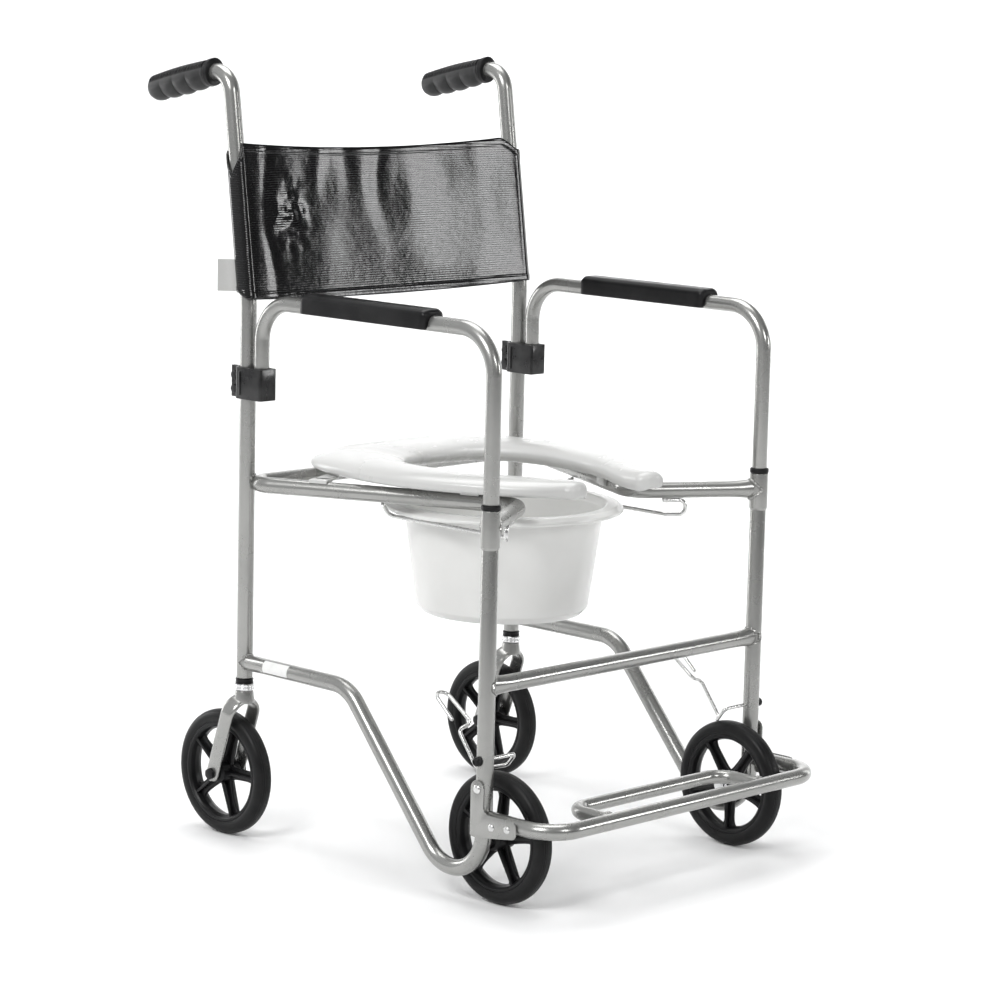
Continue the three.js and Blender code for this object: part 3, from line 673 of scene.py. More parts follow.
# How far the grip's skin stands from its axis, at a place along it and an angle from its top
def gripReach(along, angle):
    g = grip
    share = along / g["length"]
    reach = g["radius"] + g["belly"] * math.sin(math.pi * min(1, share * 1.05)) - 0.0006
    reach *= 1 - 0.10 * math.sin(angle) ** 2
    under = max(0, -math.cos(angle))
    if g["bumpsFrom"] < along < g["length"] - g["bumpsClear"]:
        run = g["length"] - g["bumpsFrom"] - g["bumpsClear"]
        wave = abs(math.sin(math.pi * (along - g["bumpsFrom"]) / run * g["bumps"]))
        side = 1 - abs(math.cos(angle)) ** 3
        low = max(0.0, min(1.0, 0.55 - math.cos(angle)))
        reach += (wave**0.7 - 0.45) * g["bumpHeight"] * (under**0.8 + 0.35 * side * low)
    top = max(0.0, min(1.0, (math.cos(angle) - 0.50) / 0.06))
    ribbed = math.sin(2 * math.pi * along / g["ribPitch"])
    if g["ribs"][0] < along < g["length"] - g["ribs"][1]:
        reach += top * (0.0009 + g["ribDepth"] * max(-0.6, min(0.6, ribbed * 1.6)))
    if along < g["collarLength"]:
        reach += g["collar"] * min(1, (g["collarLength"] - along) / 0.0012)
    nose = (along - (g["length"] - g["noseLength"])) / g["noseLength"]
    if nose > 0:
        reach *= math.sqrt(max(0, 1 - nose**3 * 0.93))
    return reach


def makePushGrip(label, x):
    corner, heading = handleLine(x)
    start = corner + heading * grip["start"]
    sideways = at(1, 0, 0)
    over = sideways.cross(heading)
    steps, around = 260, 96
    bore = tube["radius"] + 0.0003

    def ring(along, reachOf):
        points = []
        for k in range(around):
            angle = 2 * math.pi * k / around
            lean = grip["slant"] * (0.5 + 0.5 * math.cos(angle)) * max(0, 1 - along / 0.022)
            reach = reachOf(angle)
            radial = over * math.cos(angle) + sideways * math.sin(angle)
            points.append(start + heading * (along - lean) + radial * reach)
        return points

    # the skin starts deep in the bore, comes out at the collar and closes over the nose
    rings = [ring(along, lambda angle: bore) for along in (0.100, 0.05, 0.022, 0.012, 0.006, 0.0)]
    rings.append(ring(0.0, lambda angle: gripReach(0.0005, angle) - 0.0008))
    for k in range(1, steps + 1):
        along = grip["length"] * k / steps
        rings.append(ring(along, lambda angle: gripReach(along, angle)))
    last = grip["length"]
    rings.append(ring(last + 0.0002, lambda angle: gripReach(last, angle) * 0.5))
    points, faces = skin(rings)
    banded = []  # the top band and the collar are darker than the sides
    for face in faces:
        centre = sum((points[i] for i in face), Vector()) / len(face) - start
        along = centre.dot(heading)
        offset = centre - heading * along
        top = offset.dot(over) > 0.52 * offset.length
        banded.append(1 if (top and along < grip["length"] - 0.006) or along < 0.0075 else 0)
    sidePart = (points, [f for f, dark in zip(faces, banded) if not dark])
    darkPart = (points, [f for f, dark in zip(faces, banded) if dark], 1)
    makePiece(f"pushGrip_{label}", [sidePart, darkPart], [gripRubber, darkPlastic], "frame",
              f"push_grip_{label}", sharp=50)


for label, x in sides:
    makePushGrip(label, x * halfWidth)
print("commode chair: push grips made")

back = {
    "foot": 0.640,
    "height": 0.181,
    "sleeveRadius": 0.0114,
    "thickness": 0.0016,
    "flap": 0.030,  # the sleeve's return, sewn to the back of the panel
    "sag": 0.010,
    "topDip": 0.008,
    "bottomDip": 0.004,
    "notch": 0.034,
    "cornerCut": (0.026, 0.0165),  # the left top corner is cut away: width and drop
    "hem": 0.009,
    "stitch": 0.0030,
    "crumple": {"across": -0.157, "height": 0.095, "width": 0.026, "tall": 0.034, "depth": 0.0022},
    # soft folds that hang from the top hem: place across, width, length down and depth
    "folds": [
        (-0.103, 0.011, 0.060, 0.0008), (-0.060, 0.012, 0.050, -0.0005), (-0.030, 0.016, 0.060, 0.0003),
        (-0.004, 0.013, 0.075, -0.0012), (0.045, 0.024, 0.100, 0.0007), (0.100, 0.034, 0.090, -0.0007),
        (-0.194, 0.009, 0.180, -0.0008), (-0.150, 0.020, 0.100, 0.0004), (0.170, 0.022, 0.120, 0.0007),
    ],
}


# The sheet's line seen from above: across, depth and degrees round the sleeve, or -1 on the panel
def backLine():
    radius = back["sleeveRadius"]
    flapEnd = halfWidth - radius - back["flap"]
    right = [(-flapEnd, -0.0048, 181.0), (-halfWidth + radius + 0.004, 0.002, 181.0)]
    for k in range(31):
        angle = math.radians(150 - 150 * k / 30)
        across, depth = -halfWidth - radius * math.sin(angle), -radius * math.cos(angle)
        right.append((across, depth, math.degrees(angle)))
    count = 150
    panel = []
    for k in range(1, count):
        x = -halfWidth + 2 * halfWidth * k / count
        panel.append((x, -radius, -1.0))
    left = [(-px, py, angle) for px, py, angle in reversed(right)]
    return right + panel + left


# How far the panel stands back or forward at a place, from its folds and its crumpled patch
def foldDepth(x, height):
    down = back["height"] - height
    depth = 0.0
    for place, width, length, size in back["folds"]:
        sway = place + 0.006 * math.sin(height * 40 + place * 60)
        fade = 1 / (1 + math.exp((down - length) / 0.016))
        depth += size * math.exp(-((x - sway) / width) ** 2) * fade
    c = back["crumple"]
    patch = math.exp(-((x - c["across"]) / c["width"]) ** 2 - ((height - c["height"]) / c["tall"]) ** 2)
    depth += patch * c["depth"] * noise.fractal(at(x * 42, 0, height * 42), 0.9, 2.0, 3)
    depth += 0.0008 * noise.noise(at(x * 14, 3, height * 16))
    edge = min(1.0, (halfWidth - abs(x)) / 0.030)
    return depth * max(0.0, edge)


def makeBack():
    lean, radius = tube["lean"], back["sleeveRadius"]
    foot = back["foot"]
    middle = rearY + (foot - tube["leanStart"]) * math.tan(lean)
    rise = at(0, math.sin(lean), math.cos(lean))
    rearward = at(0, math.cos(lean), -math.sin(lean))
    line = backLine()
    rows = 96

    def place(entry, share):
        x, depth, angle = entry
        across = min(1.0, abs(x) / halfWidth)
        top = back["height"] - back["topDip"] * (1 - across**2)
        bottom = -back["bottomDip"] * (1 - across**2)
        cutWidth, cutDrop = back["cornerCut"]
        cut = cutDrop * max(0.0, min(1.0, (x - halfWidth + cutWidth) / cutWidth)) ** 1.4 if x > 0 else 0
        if angle < 0:
            top -= cut
        if angle >= 0:
            turn = abs(angle)
            notch = max(0.0, 1 - abs(turn - 82) / 78)
            top = back["height"] - max(cut if turn < 180 else 0, back["notch"] * notch**0.8)
            bottom = 0.010 * max(0.0, min(1.0, (turn - 40) / 60))
            if turn > 180:
                top = back["height"] - 0.014
        height = bottom + (top - bottom) * share
        if angle < 0:
            slack = back["sag"] * (1 - across**2) ** 0.8 * (0.75 + 0.4 * math.sin(math.pi * share * 0.8))
            depth += slack + foldDepth(x, height)
        flare = 1 + (0.10 * (1 - share) if angle >= 0 else 0)
        x = math.copysign(halfWidth + (abs(x) - halfWidth) * flare, x) if angle >= 0 else x
        return at(0, middle, foot) + at(1, 0, 0) * x + rearward * depth + rise * height

    grid = [[place(entry, k / rows) for k in range(rows + 1)] for entry in line]
    columns = len(grid)
    half = back["thickness"] / 2
    front, rear = [], []
    for i in range(columns):
        for k in range(rows + 1):
            a = grid[min(i + 1, columns - 1)][k] - grid[max(i - 1, 0)][k]
            b = grid[i][min(k + 1, rows)] - grid[i][max(k - 1, 0)]
            normal = a.cross(b).normalized()
            edge = min(i, columns - 1 - i, 2) / 2
            fromHem = min(k, rows - k)
            swell = 1.7 if 0 < fromHem < 5 else (0.9 if fromHem == 0 else 1.0)
            size = half * swell * (0.6 + 0.4 * edge)
            front.append(grid[i][k] + normal * size)
            rear.append(grid[i][k] - normal * size)
    points = front + rear
    total = len(front)
    faces = []
    span = rows + 1
    for i in range(columns - 1):
        for k in range(rows):
            a, b, c, d = i * span + k, (i + 1) * span + k, (i + 1) * span + k + 1, i * span + k + 1
            faces.append((a, b, c, d))
            faces.append((total + a, total + d, total + c, total + b))
        for k in (0, rows):
            a, b = i * span + k, (i + 1) * span + k
            faces.append((a, b, total + b, total + a))
    for i in (0, columns - 1):
        for k in range(rows):
            a, b = i * span + k, i * span + k + 1
            faces.append((a, b, total + b, total + a))
    sheet = makePiece("backUpholstery", (points, faces), ribbedVinyl, "frame", "back_upholstery",
                      sharp=60)

    # rows of stitches along the two hems
    stitches = []
    hem = back["hem"] / back["height"]
    for share in (hem, 1 - hem):
        x = -halfWidth + 0.006
        while x < halfWidth - 0.006:
            ends = [place((a, -radius, -1.0), share) for a in (x, x + back["stitch"] * 0.6)]
            lifted = [p - rearward * (half + 0.0001) for p in ends]
            stitches.append(roundBar(lifted, 0.00032, 6, 0.0002, 1))
            x += back["stitch"]
    thread = makePiece("backStitches", stitches, gripRubber, "frame", None, sharp=80)

    # a small blank tag sewn into the side seam
    tagFoot = place((-halfWidth - radius * 0.8, radius * 0.7, 128.0), 0.10)
    reach = at(-0.80, 0.60, 0).normalized()
    tagLine = []
    for k in range(13):
        share = k / 12
        curl = rearward * 0.0014 * math.sin(share * 3.4)
        tagLine.append(tagFoot + reach * (0.024 * share - 0.003) + curl)
    outline = roundedBox(0.037, 0.0005, 0.0002)
    tag = sweep([p + rise * 0.005 for p in tagLine], outline, across=rise)
    label = makePiece("backTag", tag, wovenTape, "frame", None, sharp=60)


makeBack()
print("commode chair: back upholstery made")

bracket = {"steel": 0.0022, "halfWidth": 0.0128, "foldRadius": 0.0022}
boltSize = {"shank": 0.0025, "across": 0.0100, "head": 0.0040, "washer": 0.0062}


def makeArmBracket(label, x):
    low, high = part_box(f"arm_bracket_{label}")
    w, half = bracket["halfWidth"] - bracket["steel"] / 2, bracket["steel"]
    front, neck, tail = low.y + half / 2, high.y - 0.0155, high.y
    gap = half * 0.62
    corners = [
        at(-gap, tail, 0), at(-gap, neck + 0.004, 0), at(-w, neck - 0.004, 0), at(-w, front, 0),
        at(w, front, 0), at(w, neck - 0.004, 0), at(gap, neck + 0.004, 0), at(gap, tail, 0),
    ]
    fold = bracket["foldRadius"]
    line = roundCorners(corners, [0.003, 0.004, fold, fold, 0.004, 0.003], 12)
    shape = shifted(strap(line, bracket["steel"], low.z, high.z, 0.0005), at(x, 0, 0))
    # a pressed rib down each side, where the strap grips the upright
    ribs = []
    for side in (-1, 1):
        ribLine = [at(x + side * bracket["halfWidth"], rearY, low.z + 0.004),
                   at(x + side * bracket["halfWidth"], rearY, high.z - 0.004)]
        ribs.append(roundBar(ribLine, 0.0016, 16, 0.0014, 4))
    makePiece(f"armBracket_{label}", [shape] + ribs, blackSteelPaint, "frame",
              f"arm_bracket_{label}")


def makeBracketBolt(label, place):
    low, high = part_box(f"bracket_bolt_{place}_{label}")
    centre = (low + high) / 2
    shapes = []
    gripHalf = bracket["steel"] * 1.15
    for side in (-1, 1):
        axis = at(side, 0, 0)
        face = centre + axis * gripHalf
        shapes.append(washer(face, axis, boltSize["washer"], 0.0026, 0.0009))
        tall = boltSize["head"] - 0.0004
        shapes.append(hexHead(face + axis * 0.0009, axis, boltSize["across"], tall, 0.0003))
    reach = (high.x - low.x) / 2 + 0.0006
    line = [centre - at(reach, 0, 0), centre + at(reach, 0, 0)]
    shapes.append(roundBar(line, boltSize["shank"], 20, 0.0006))
    makePiece(f"bracketBolt_{place}_{label}", shapes, blackSteelPaint, "frame",
              f"bracket_bolt_{place}_{label}")


for label, x in sides:
    makeArmBracket(label, x * halfWidth)
    for place in ("lower", "upper"):
        makeBracketBolt(label, place)

arm = {
    "radius": 0.0088,
    "rearLeg": 0.024,  # in front of the rear upright
    "rearFoot": 0.528,
    "level": 0.641,
    "rearBend": 0.046,
    "frontBend": 0.050,
    "padHalf": 0.016,
}


def makeArmTube(label, x):
    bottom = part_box(f"arm_tube_{label}")[0].z
    rearLeg = rearY - arm["rearLeg"]
    corners = [
        at(x, rearLeg, arm["rearFoot"]), at(x, rearLeg, arm["level"]),
        at(x, frontY, arm["level"]), at(x, frontY, bottom),
    ]
    line = roundCorners(corners, [arm["rearBend"], arm["frontBend"]], 3)
    makePiece(f"armTube_{label}", roundBar(line, arm["radius"], 40), silverPaint, f"armrest_{label}",
              f"arm_tube_{label}")


# An inverted channel with a domed top, a lip along each lower edge and undercut ends
def makeArmPad(label, x):
    low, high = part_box(f"arm_pad_{label}")
    w, top, bottom = arm["padHalf"], high.z - arm["level"], low.z - arm["level"]
    inner = arm["radius"] + 0.0004
    outer = roundCorners([
        (inner, bottom - 0.0016, 0), (w, bottom - 0.0016, 0), (w, top - 0.0040, 0), (w * 0.62, top, 0),
        (-w * 0.62, top, 0), (-w, top - 0.0040, 0), (-w, bottom - 0.0016, 0), (-inner, bottom - 0.0016, 0),
    ], [0.0016, 0.0050, 0.0100, 0.0100, 0.0050, 0.0016], 8)
    arch = [at(-inner * math.cos(a), inner * math.sin(a), 0) for a in np.linspace(0, math.pi, 25)]
    outline = [(p.x, p.y) for p in outer + arch]
    length = high.y - low.y
    rings = []
    count = 64
    for k in range(count + 1):
        share = k / count
        along = low.y + length * (1 - math.cos(math.pi * share)) / 2
        fromFront, fromRear = along - low.y, high.y - along
        near = min(fromFront, fromRear)
        ease = math.sqrt(max(0.0, 1 - max(0.0, 1 - near / 0.007) ** 2))
        ring = []
        for a, b in outline:
            outside = math.hypot(a, b) > inner * 1.02
            if outside:
                drop = (1 - ease) * 0.004
                a = math.copysign(max(inner * 0.9, abs(a) - (1 - ease) * 0.004), a) if abs(a) > inner else a
                b = b - drop if b > 0.004 else b
            # the front end is cut back underneath
            cut = max(0.0, -b) * 0.55
            ring.append(at(x + a, along + cut * math.exp(-fromFront / 0.012), arm["level"] + b))
        rings.append(ring)
    makePiece(f"armPad_{label}", skin(rings), darkPlastic, f"armrest_{label}",
              f"arm_pad_{label}", sharp=40)


def makeSocketRing(label, x):
    low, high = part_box(f"socket_ring_{label}")
    inner, outer = arm["radius"] + 0.0003, (high.x - low.x) / 2
    profile = [(inner, 0), (outer, 0), (outer, high.z - low.z), (inner, high.z - low.z)]
    shape = turned(softProfile(profile, 0.0015, True), at(x, frontY, low.z), steps=64, closed=True)
    makePiece(f"socketRing_{label}", shape, darkPlastic, "frame", f"socket_ring_{label}")


for label, x in sides:
    makeArmTube(label, x * halfWidth)
    makeArmPad(label, x * halfWidth)
    makeSocketRing(label, x * halfWidth)
print("commode chair: armrests made")

wheel = {
    "radius": 0.075,
    "tyreInner": 0.060,
    "tyreHalf": 0.0110,
    "mouldLines": (-0.0052, -0.0026, 0.0026, 0.0052),
    "rimHalf": 0.0100,
    "hub": 0.0130,
    "hubHalf": 0.0160,
    "spokes": 5,
    "spokeWidth": 0.0150,
    "webThickness": 0.0050,
    "ribThickness": 0.0034,
    "ribHalf": 0.0088,
}


def rimShapes(centre, turn):
    w = wheel
    axis = at(1, 0, 0)
    seat, half = w["tyreInner"] - 0.0002, w["rimHalf"]
    band = [
        (seat, -half), (seat, half), (0.0565, half), (0.0545, half * 0.80), (0.0525, 0.003),
        (0.0525, -0.003), (0.0545, -half * 0.80), (0.0565, -half),
    ]
    shapes = [turned(softProfile(band, 0.0008, True), centre, axis, 144, closed=True)]
    bore = 0.0054
    end = w["hubHalf"]
    hub = [
        (bore, -end), (0.0098, -end), (w["hub"], -end + 0.003), (w["hub"] + 0.0012, 0),
        (w["hub"], end - 0.003), (0.0098, end), (bore, end),
    ]
    shapes.append(turned(softProfile(hub, [0.0008] * 7, True), centre, axis, 72, closed=True))
    stations = [(0.0110, 1.30), (0.0150, 1.16), (0.0200, 1.02), (0.0300, 0.93), (0.0400, 0.90),
                (0.0460, 0.95), (0.0500, 1.12), (0.0530, 1.55), (0.0545, 2.0)]
    for k in range(w["spokes"]):
        spin = Matrix.Rotation(2 * math.pi * k / w["spokes"] + turn, 3, axis)
        heading = spin @ up
        line = [centre + heading * r for r, size in stations]
        web = roundedBox(w["webThickness"], w["spokeWidth"], 0.0018)
        shapes.append(sweep(line, web, across=axis, sizes=[(1, size) for r, size in stations]))
        rib = roundedBox(2 * w["ribHalf"], w["ribThickness"], 0.0012)
        depth = [(1.10 - 5.5 * abs(r - 0.011), 0.8 + 0.25 * size) for r, size in stations]
        depth = [(max(0.90, a), b) for a, b in depth]
        shapes.append(sweep(line, rib, across=axis, sizes=depth))
    return shapes


def tyreShape(centre):
    w = wheel
    radius, half, inner = w["radius"], w["tyreHalf"], w["tyreInner"]
    profile = [(inner, -0.0098)]
    steps = 44
    for k in range(steps + 1):
        angle = -math.pi / 2 + math.pi * k / steps
        across = half * math.copysign(abs(math.sin(angle)) ** 0.88, math.sin(angle))
        reach = (inner + 0.0035) + (radius - inner - 0.0035) * abs(math.cos(angle)) ** 0.70
        profile.append((reach, across))
    profile.append((inner, 0.0098))
    # four shallow mould lines near the crown
    fine = []
    for (r1, a1), (r2, a2) in zip(profile, profile[1:]):
        pieces = 6 if r1 > radius - 0.0045 and r2 > radius - 0.0045 else 1
        for j in range(pieces):
            t = j / pieces
            fine.append((r1 + (r2 - r1) * t, a1 + (a2 - a1) * t))
    fine.append(profile[-1])
    lined = []
    for reach, across in fine:
        dip = sum(math.exp(-((across - c) / 0.00028) ** 2) for c in w["mouldLines"])
        lined.append((reach - 0.00035 * dip, across))
    return turned(lined, centre, at(1, 0, 0), 160, closed=True)


def makeWheel(name, body, centre, turn, rimNode, tyreNode):
    makePiece(f"{name}_rim", rimShapes(centre, turn), darkPlastic, body, rimNode, sharp=40)
    makePiece(f"{name}_tyre", tyreShape(centre), tyreRubber, body, tyreNode, sharp=50)


def makeFrontAxle(label, x):
    centre = pivots[f"front_{label}_roll"]
    side = at(x, 0, 0)
    hub = wheel["hubHalf"] + 0.0003
    ends = [centre - side * (hub + 0.0060), centre + side * (halfWidth - abs(centre.x) - 0.004)]
    shapes = [roundBar(ends, 0.005, 32)]
    shapes.append(washer(centre - side * hub, -side, 0.0088, 0.0051, 0.0010))
    shapes.append(hexHead(centre - side * (hub + 0.0010), -side, 0.0160, 0.0046, 0.0002))
    shapes.append(turned(softProfile([(0, 0), (0.0064, 0), (0.0064, 0.0125), (0, 0.0125)], 0.0008),
                         centre + side * hub, side, 40))
    makePiece(f"frontAxle_{label}", shapes, polishedMetal, "frame", f"front_axle_{label}")


fork = {
    "half": 0.0205,  # from the middle plane to the middle of each leg
    "width": 0.0200,
    "thickness": 0.0068,
    "flatThickness": 0.0042,
    "crown": 0.172,
    "endDrop": 0.0098,  # of each leg below the axle
    "bossTop": 0.179,
    "stemTop": 0.2495,
    "stem": 0.006,
}


# A flattened bar bent over the wheel, with the swivel stem standing on its crown
def makeCasterFork(label):
    axle = pivots[f"caster_{label}_roll"]
    crown = at(axle.x, rearY, fork["crown"])
    slope = (crown - axle).normalized()
    side = at(1, 0, 0)
    foreAft = side.cross(slope).normalized()
    half = fork["half"]
    reach = (crown - axle).length - fork["thickness"] / 2
    endDrop = fork["endDrop"]
    corners = [
        axle - side * half - slope * endDrop, axle - side * half + slope * reach,
        axle + side * half + slope * reach, axle + side * half - slope * endDrop,
    ]
    line = roundCorners(corners, half * 0.985, 4)
    fine = []
    for a, b in zip(line, line[1:]):
        pieces = max(1, round((b - a).length / 0.002))
        fine += [a.lerp(b, j / pieces) for j in range(pieces)]
    fine.append(line[-1])
    sizes = []
    for p in fine:
        height = (p - axle).dot(slope) + endDrop
        flat = max(0.0, min(1.0, (height - 0.020) / 0.012))
        flat = flat * flat * (3 - 2 * flat)
        thick = fork["flatThickness"] + (fork["thickness"] - fork["flatThickness"]) * flat
        nose = math.sqrt(max(0.004, 1 - max(0.0, 1 - height / 0.010) ** 2))
        sizes.append((nose, thick / fork["thickness"]))
    w, t = fork["width"] / 2, fork["thickness"] / 2
    outline = []
    for k in range(36):
        angle = 2 * math.pi * k / 36
        c, s = math.cos(angle), math.sin(angle)
        outline.append((w * math.copysign(abs(c) ** 0.75, c), t * math.copysign(abs(s) ** 0.75, s)))
    shapes = [sweep(fine, outline, across=foreAft, sizes=sizes)]
    bossTop = fork["bossTop"]
    bossFoot = fork["crown"] - 0.008
    boss = softProfile([(0, bossFoot), (0.0125, bossFoot), (0.0105, bossTop), (0, bossTop)], 0.001)
    shapes.append(turned(boss, at(axle.x, rearY, 0), steps=48))
    stem = [at(axle.x, rearY, bossTop - 0.002), at(axle.x, rearY, fork["stemTop"])]
    shapes.append(roundBar(stem, fork["stem"], 32))
    makePiece(f"casterFork_{label}", shapes, silverPaint, f"caster_{label}", f"caster_fork_{label}",
              sharp=45)


def makeCasterAxle(label):
    centre = pivots[f"caster_{label}_roll"]
    face = fork["half"] + fork["flatThickness"] / 2 + 0.0002
    side = at(1, 0, 0)
    shapes = [roundBar([centre - side * (face + 0.002), centre + side * (face + 0.002)], 0.005, 32)]
    for direction in (-1, 1):
        axis = side * direction
        shapes.append(hexHead(centre + axis * face, axis, 0.0142, 0.0042, 0.0006))
        shapes.append(washer(centre + axis * (wheel["hubHalf"] + 0.0001), axis, 0.0085, 0.0051, 0.0014))
    makePiece(f"casterAxle_{label}", shapes, darkPlastic, f"caster_wheel_{label}", f"caster_axle_{label}")


def makeHeadset(label, x):
    low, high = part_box(f"headset_ring_{label}")
    outer, inner, tall = (high.x - low.x) / 2, 0.0064, high.z - low.z
    waist = outer - 0.0012
    profile = [
        (inner, 0), (waist, 0), (outer, 0.0012), (outer, tall * 0.36), (waist, tall * 0.46),
        (waist, tall * 0.54), (outer, tall * 0.64), (outer, tall - 0.0010), (outer - 0.0010, tall),
        (inner, tall),
    ]
    shape = turned(softProfile(profile, 0.0004, True), at(x, rearY, low.z), steps=72, closed=True)
    makePiece(f"headsetRing_{label}", shape, polishedMetal, "frame", f"headset_ring_{label}")
    low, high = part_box(f"headset_seal_{label}")
    outer, tall = (high.x - low.x) / 2, high.z - low.z
    profile = [(inner, 0), (outer, 0), (outer - 0.0006, tall * 0.5), (outer, tall), (inner, tall)]
    shape = turned(softProfile(profile, 0.0006, True), at(x, rearY, low.z), steps=64, closed=True)
    makePiece(f"headsetSeal_{label}", shape, darkPlastic, "frame", f"headset_seal_{label}")


for label, x in sides:
    for kind, turn in (("front", 0.12 + 0.5 * (x > 0)), ("caster", 0.30)):
        makeWheel(f"{kind}Wheel_{label}", f"{kind}_wheel_{label}", pivots[f"{kind}_{label}_roll"], turn,
                  f"{kind}_rim_{label}", f"{kind}_tyre_{label}")
    makeFrontAxle(label, x)
    makeCasterFork(label)
    makeCasterAxle(label)
    makeHeadset(label, x * halfWidth)
print("commode chair: wheels and casters made")

foot = {
    "level": 0.103,
    "tube": 0.0092,
    "bend": 0.038,
    "loopTube": 0.0080,
    "loopHalf": 0.128,
    "loopRearFromFront": 0.037,
    "loopBend": 0.026,
    "plateTop": 0.010,
    "toe": 0.060,
    "rivet": 0.0052,
}


def makeFootrest():
    low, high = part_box("footrest_tube")
    barY, startY = low.y + foot["tube"], high.y
    level = (low.z + high.z) / 2
    corners = [at(-halfWidth, startY, level), at(-halfWidth, barY, level), at(halfWidth, barY, level),
               at(halfWidth, startY, level)]
    line = roundCorners(corners, foot["bend"], 3)
    makePiece("footrestTube", roundBar(line, foot["tube"], 40), silverPaint, "footrest", "footrest_tube")
    rear, half = frontY - foot["loopRearFromFront"], foot["loopHalf"]
    inset = foot["tube"] * 0.6
    corners = [at(-half, barY + inset, level), at(-half, rear, level), at(half, rear, level),
               at(half, barY + inset, level)]
    line = roundCorners(corners, foot["loopBend"], 4)
    shapes = [roundBar(line, foot["loopTube"], 40)]
    for side in (-1, 1):
        onto = at(side * half, barY, level)
        shapes.append(weldBead(onto, at(0, 1, 0), up, foot["loopTube"], foot["tube"], 0.0018))
    makePiece("footrestLoop", shapes, silverPaint, "footrest", "footrest_loop")


def domedRivet(centre, axis, radius, height=0.0024):
    profile = [(0, -0.001), (radius, -0.001), (radius, 0.0004), (radius * 0.72, height * 0.82), (0, height)]
    return turned(softProfile(profile, [0.0002, 0.0003, radius * 0.5]), centre, axis, 40)


# The plate's outline is drawn with Y along its first axis and Z along its second
def makeFootPlate(label, x):
    low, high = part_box(f"footrest_plate_{label}")
    pivotZ = pivots["footrest_fold"].z
    r = foot["plateTop"]
    lower, upper, toe = foot["level"] - 0.012, foot["level"] + 0.008, frontY - foot["toe"]
    corners = [
        (frontY + r, lower - 0.008, 0), (frontY + r, pivotZ + r, 0), (frontY - r, pivotZ + r, 0),
        (frontY - r, upper, 0), (toe, upper, 0), (toe, lower, 0), (frontY, lower - 0.009, 0),
    ]
    outline = roundCorners(corners, [0.003, r * 0.98, r * 0.98, 0.008, 0.007, 0.007, 0.020], 8, closed=True)
    thickness = high.x - low.x
    points, faces = plate([(p.x, p.y) for p in outline], thickness, 0.0006)
    shape = [at(low.x + p.z, p.x, p.y) for p in points], faces
    outerFace = high.x if x > 0 else low.x
    side = at(x, 0, 0)
    heads = []
    for along, drop in ((0.023, 0.0050), (0.047, 0.0030)):
        centre = at(outerFace, frontY - along, foot["level"] - drop)
        heads.append((*domedRivet(centre, side, foot["rivet"] * 0.86), 1))
    makePiece(f"footPlate_{label}", [shape] + heads, [silverPaint, zincPlate], "footrest",
              f"footrest_plate_{label}")


def makeFootRivet(label, x):
    plateLow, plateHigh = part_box(f"footrest_plate_{label}")
    side = at(x, 0, 0)
    pivot = pivots["footrest_fold"]
    outer = plateHigh.x if x > 0 else plateLow.x
    outerHead = domedRivet(at(outer + x * 0.0003, pivot.y, pivot.z), side, foot["rivet"])
    innerFace = at(x * (halfWidth - tube["radius"] + 0.0006), pivot.y, pivot.z)
    innerHead = domedRivet(innerFace, -side, foot["rivet"])
    ends = [at(x * (halfWidth - tube["radius"]), pivot.y, pivot.z), at(outer, pivot.y, pivot.z)]
    shapes = [outerHead, innerHead, roundBar(ends, 0.003, 24)]
    makePiece(f"footRivet_{label}", shapes, zincPlate, "frame", f"footrest_rivet_{label}")


makeFootrest()
for label, x in sides:
    makeFootPlate(label, x)
    makeFootRivet(label, x)
print("commode chair: footrest made")

brake = {
    "radius": 0.0022,
    "inner": 0.177,
    # each bend after the pivot: across, behind the front upright and height
    "bends": [
        (0.178, 0.012, 0.153), (0.205, 0.032, 0.1484), (0.205, 0.062, 0.188), (0.187, 0.060, 0.194),
        (0.187, 0.101, 0.222), (0.205, 0.103, 0.224), (0.205, 0.072, 0.197),
    ],
    "rounding": [0.006, 0.0055, 0.007, 0.0065, 0.006, 0.0085, 0.0085],
}


def makeBrake(label, x):
    pivot = pivots[f"brake_{label}_lift"]
    low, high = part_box(f"brake_wire_{label}")
    outer = max(abs(low.x), abs(high.x))
    bends = [(outer, 0, pivot.z), (brake["inner"], 0, pivot.z)] + brake["bends"]
    corners = [at(x * across, frontY + behind, height) for across, behind, height in bends]
    wire = roundBar(roundCorners(corners, brake["rounding"], 10), brake["radius"], 20, 0.0016, 4)
    makePiece(f"brakeWire_{label}", wire, zincPlate, f"brake_{label}", f"brake_wire_{label}",
              sharp=60)
    low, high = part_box(f"brake_cap_{label}")
    radius, tall = (high.z - low.z) / 2, high.x - low.x
    face = at(low.x if x > 0 else high.x, frontY, pivot.z)
    profile = [
        (0.0026, 0.0), (radius + 0.0006, 0.0), (radius + 0.0006, 0.0014), (radius, 0.0020),
        (radius, tall - 0.0016),
        (radius - 0.0014, tall), (radius * 0.5, tall), (radius * 0.42, tall - 0.0008), (0, tall - 0.0008),
        (0, tall - 0.0014), (0.0026, tall - 0.0014),
    ]
    shape = turned(profile, face, at(x, 0, 0), 40, closed=True)
    makePiece(f"brakeCap_{label}", shape, darkPlastic, "frame", f"brake_cap_{label}",
              sharp=40)


for label, x in sides:
    makeBrake(label, x)
print("commode chair: brakes made")

bucket = {"wall": 0.0022, "mouth": 0.117, "foot": 0.102}


